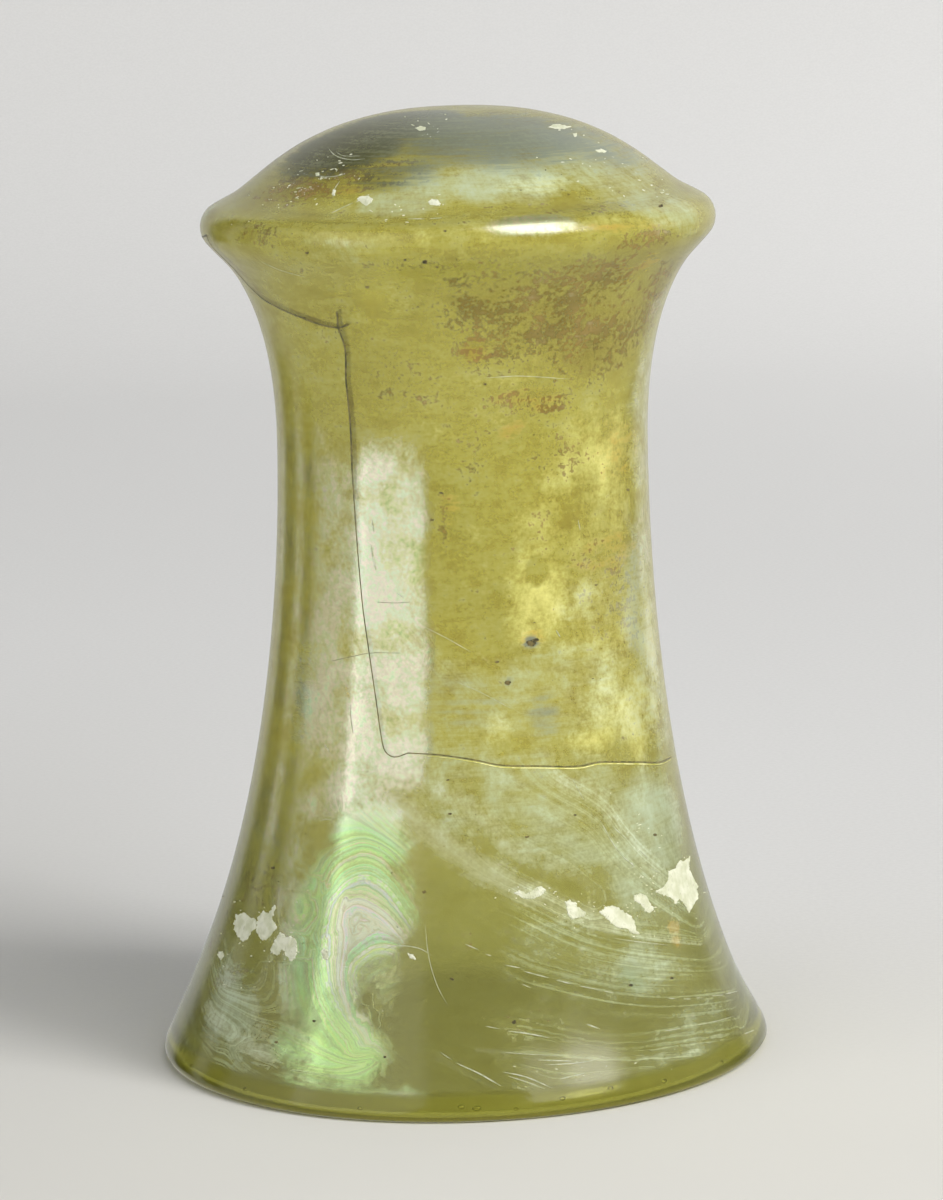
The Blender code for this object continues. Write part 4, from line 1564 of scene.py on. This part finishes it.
class BEAKER_OT_bubbles(bpy.types.Operator):
    """Make the seed bubbles in the rim"""

    bl_idname = "beaker.bubbles"
    bl_label = "Bubbles"

    def execute(self, context):
        shape, _ = shape_and_sight(context)
        bubbles = []
        for angle, height, size in BUBBLES:
            place = shape.on_glass(angle, height * MM, -BUBBLE_DEPTH)[0]
            bpy.ops.object.select_all(action="DESELECT")
            bpy.ops.mesh.primitive_ico_sphere_add(subdivisions=2, radius=size * MM)
            bubble = bpy.context.object
            turn = math.radians(angle)
            along = np.array([math.cos(turn), math.sin(turn), 0.0])
            ball = positions_of(bubble.data)
            ball += np.outer(ball @ along, along) * 0.7
            move_to(bubble.data, ball + place)
            bubbles.append(bubble)
        whole = joined("seed_bubbles", bubbles)
        alone(whole)
        bpy.ops.object.shade_smooth()
        finished(whole, trapped_air())
        return {"FINISHED"}


# The stage

def aim_light(name, azimuth, elevation, distance, width, height, power, colour, target=(0, 0, 0.05)):
    """An area light that looks at the target, from degrees to the right of the camera and degrees up."""
    light = bpy.data.lights.new(name, "AREA")
    light.shape = "RECTANGLE"
    light.size, light.size_y = width, height
    light.energy = power
    light.color = colour
    turn, rise = math.radians(azimuth), math.radians(elevation)
    way = Vector((math.sin(turn) * math.cos(rise), -math.cos(turn) * math.cos(rise), math.sin(rise)))
    lamp = bpy.data.objects.new(name, light)
    lamp.location = Vector(target) + distance * way
    lamp.rotation_euler = way.to_track_quat("Z", "Y").to_euler()
    lamp.visible_camera = False
    bpy.context.scene.collection.objects.link(lamp)
    return lamp


def camera_axes(settings):
    """The camera's right, up and forward directions."""
    pitch, roll = settings.pitch, settings.roll
    ahead = Vector((0, math.cos(pitch), -math.sin(pitch)))
    right = Vector((1, 0, 0))
    up = right.cross(ahead)
    across = math.cos(roll) * right + math.sin(roll) * up
    upward = -math.sin(roll) * right + math.cos(roll) * up
    return across, upward, ahead


def placed_camera(settings):
    across, upward, ahead = camera_axes(settings)
    camera = bpy.data.objects.new("camera", bpy.data.cameras.new("camera"))
    camera.data.sensor_fit = "AUTO"
    camera.data.sensor_width = SENSOR
    camera.data.lens = settings.lens
    camera.data.clip_start = 0.01
    turned = Matrix((across, upward, -ahead)).transposed().to_4x4()
    camera.matrix_world = Matrix.Translation(Vector(settings.aim) - settings.distance * ahead) @ turned
    bpy.context.scene.collection.objects.link(camera)
    return camera


def backdrop_sheet():
    """A round floor whose edge sweeps up all round. The glass reflects the room and not the sheet."""
    floor_radius, sweep_radius, sweep_steps = 0.62, 0.35, 12
    outline = [Vector((0, 0, 0)), Vector((floor_radius, 0, 0))]
    for step in range(1, sweep_steps + 1):
        turn = math.radians(90 * step / sweep_steps)
        outward, rise = sweep_radius * math.sin(turn), sweep_radius * (1 - math.cos(turn))
        outline.append(Vector((floor_radius + outward, 0, rise)))
    backdrop = chain_of_points("backdrop", outline)
    turn_round(96, 4)
    bpy.ops.mesh.normals_make_consistent(inside=True)
    bpy.ops.object.mode_set(mode="OBJECT")
    alone(backdrop)
    bpy.ops.object.shade_smooth()
    backdrop.data.materials.append(paper())
    backdrop.visible_glossy = False
    backdrop.visible_shadow = False
    return backdrop


def hang_lights():
    """A large softbox on the left, a key on the right, and two lights that the glass doesn't reflect."""
    aim_light("left_softbox", -45, 19, 1.2, 1.08, 1.44, 4.8, (0.97, 0.99, 1.0))
    aim_light("key", 46, 50, 1.3, 0.82, 1.0, 7.0, (1.0, 0.985, 0.96))
    fill = aim_light("right_fill", 56, 34, 1.3, 0.45, 0.45, 9.2, (1.0, 0.99, 0.97))
    wash = aim_light("back_wash", 100, 50, 1.0, 0.4, 0.4, 0.8, (1.0, 0.99, 0.98), (0.3, 0.85, 0.05))
    wash.data.spread = math.radians(60)
    for light in (fill, wash):
        light.visible_glossy = False


class BEAKER_OT_stage(bpy.types.Operator):
    """Make the backdrop, the lights and the camera"""

    bl_idname = "beaker.stage"
    bl_label = "Stage"

    def execute(self, context):
        backdrop = backdrop_sheet()
        hang_lights()
        context.scene.world = studio_room()
        context.scene.view_settings.view_transform = "Standard"
        context.scene.world.cycles.sampling_method = "NONE"
        context.scene.cycles.use_light_tree = False
        context.scene.cycles.max_bounces = 10
        context.scene.cycles.diffuse_bounces = 3
        context.scene.camera = placed_camera(context.scene.beaker_stage)
        return {"FINISHED"}


class BEAKER_PT_panel(bpy.types.Panel):
    """The beaker's pieces and its stage"""

    bl_idname = "BEAKER_PT_panel"
    bl_label = "Glass Bell Beaker"
    bl_space_type = "VIEW_3D"
    bl_region_type = "UI"
    bl_category = "Beaker"

    def draw(self, context):
        for operator in OPERATORS:
            self.layout.operator(operator.bl_idname)


OPERATORS = (
    BEAKER_OT_stage,
    BEAKER_OT_glass,
    BEAKER_OT_cracks,
    BEAKER_OT_crust,
    BEAKER_OT_pits,
    BEAKER_OT_scratches,
    BEAKER_OT_bubbles,
)
GROUPS = {"beaker_glass": GlassSettings, "beaker_marks": MarkSettings, "beaker_stage": StageSettings}
CLASSES = (*GROUPS.values(), *OPERATORS, BEAKER_PT_panel)


def register():
    for made in CLASSES:
        bpy.utils.register_class(made)
    for name, group in GROUPS.items():
        setattr(bpy.types.Scene, name, bpy.props.PointerProperty(type=group))


def unregister():
    for name in GROUPS:
        delattr(bpy.types.Scene, name)
    for made in reversed(CLASSES):
        bpy.utils.unregister_class(made)


def main():
    register()
    bpy.ops.beaker.stage()
    bpy.ops.beaker.glass()
    bpy.ops.beaker.cracks()
    bpy.ops.beaker.crust()
    bpy.ops.beaker.pits()
    bpy.ops.beaker.scratches()
    bpy.ops.beaker.bubbles()


if __name__ == "__main__":
    main()
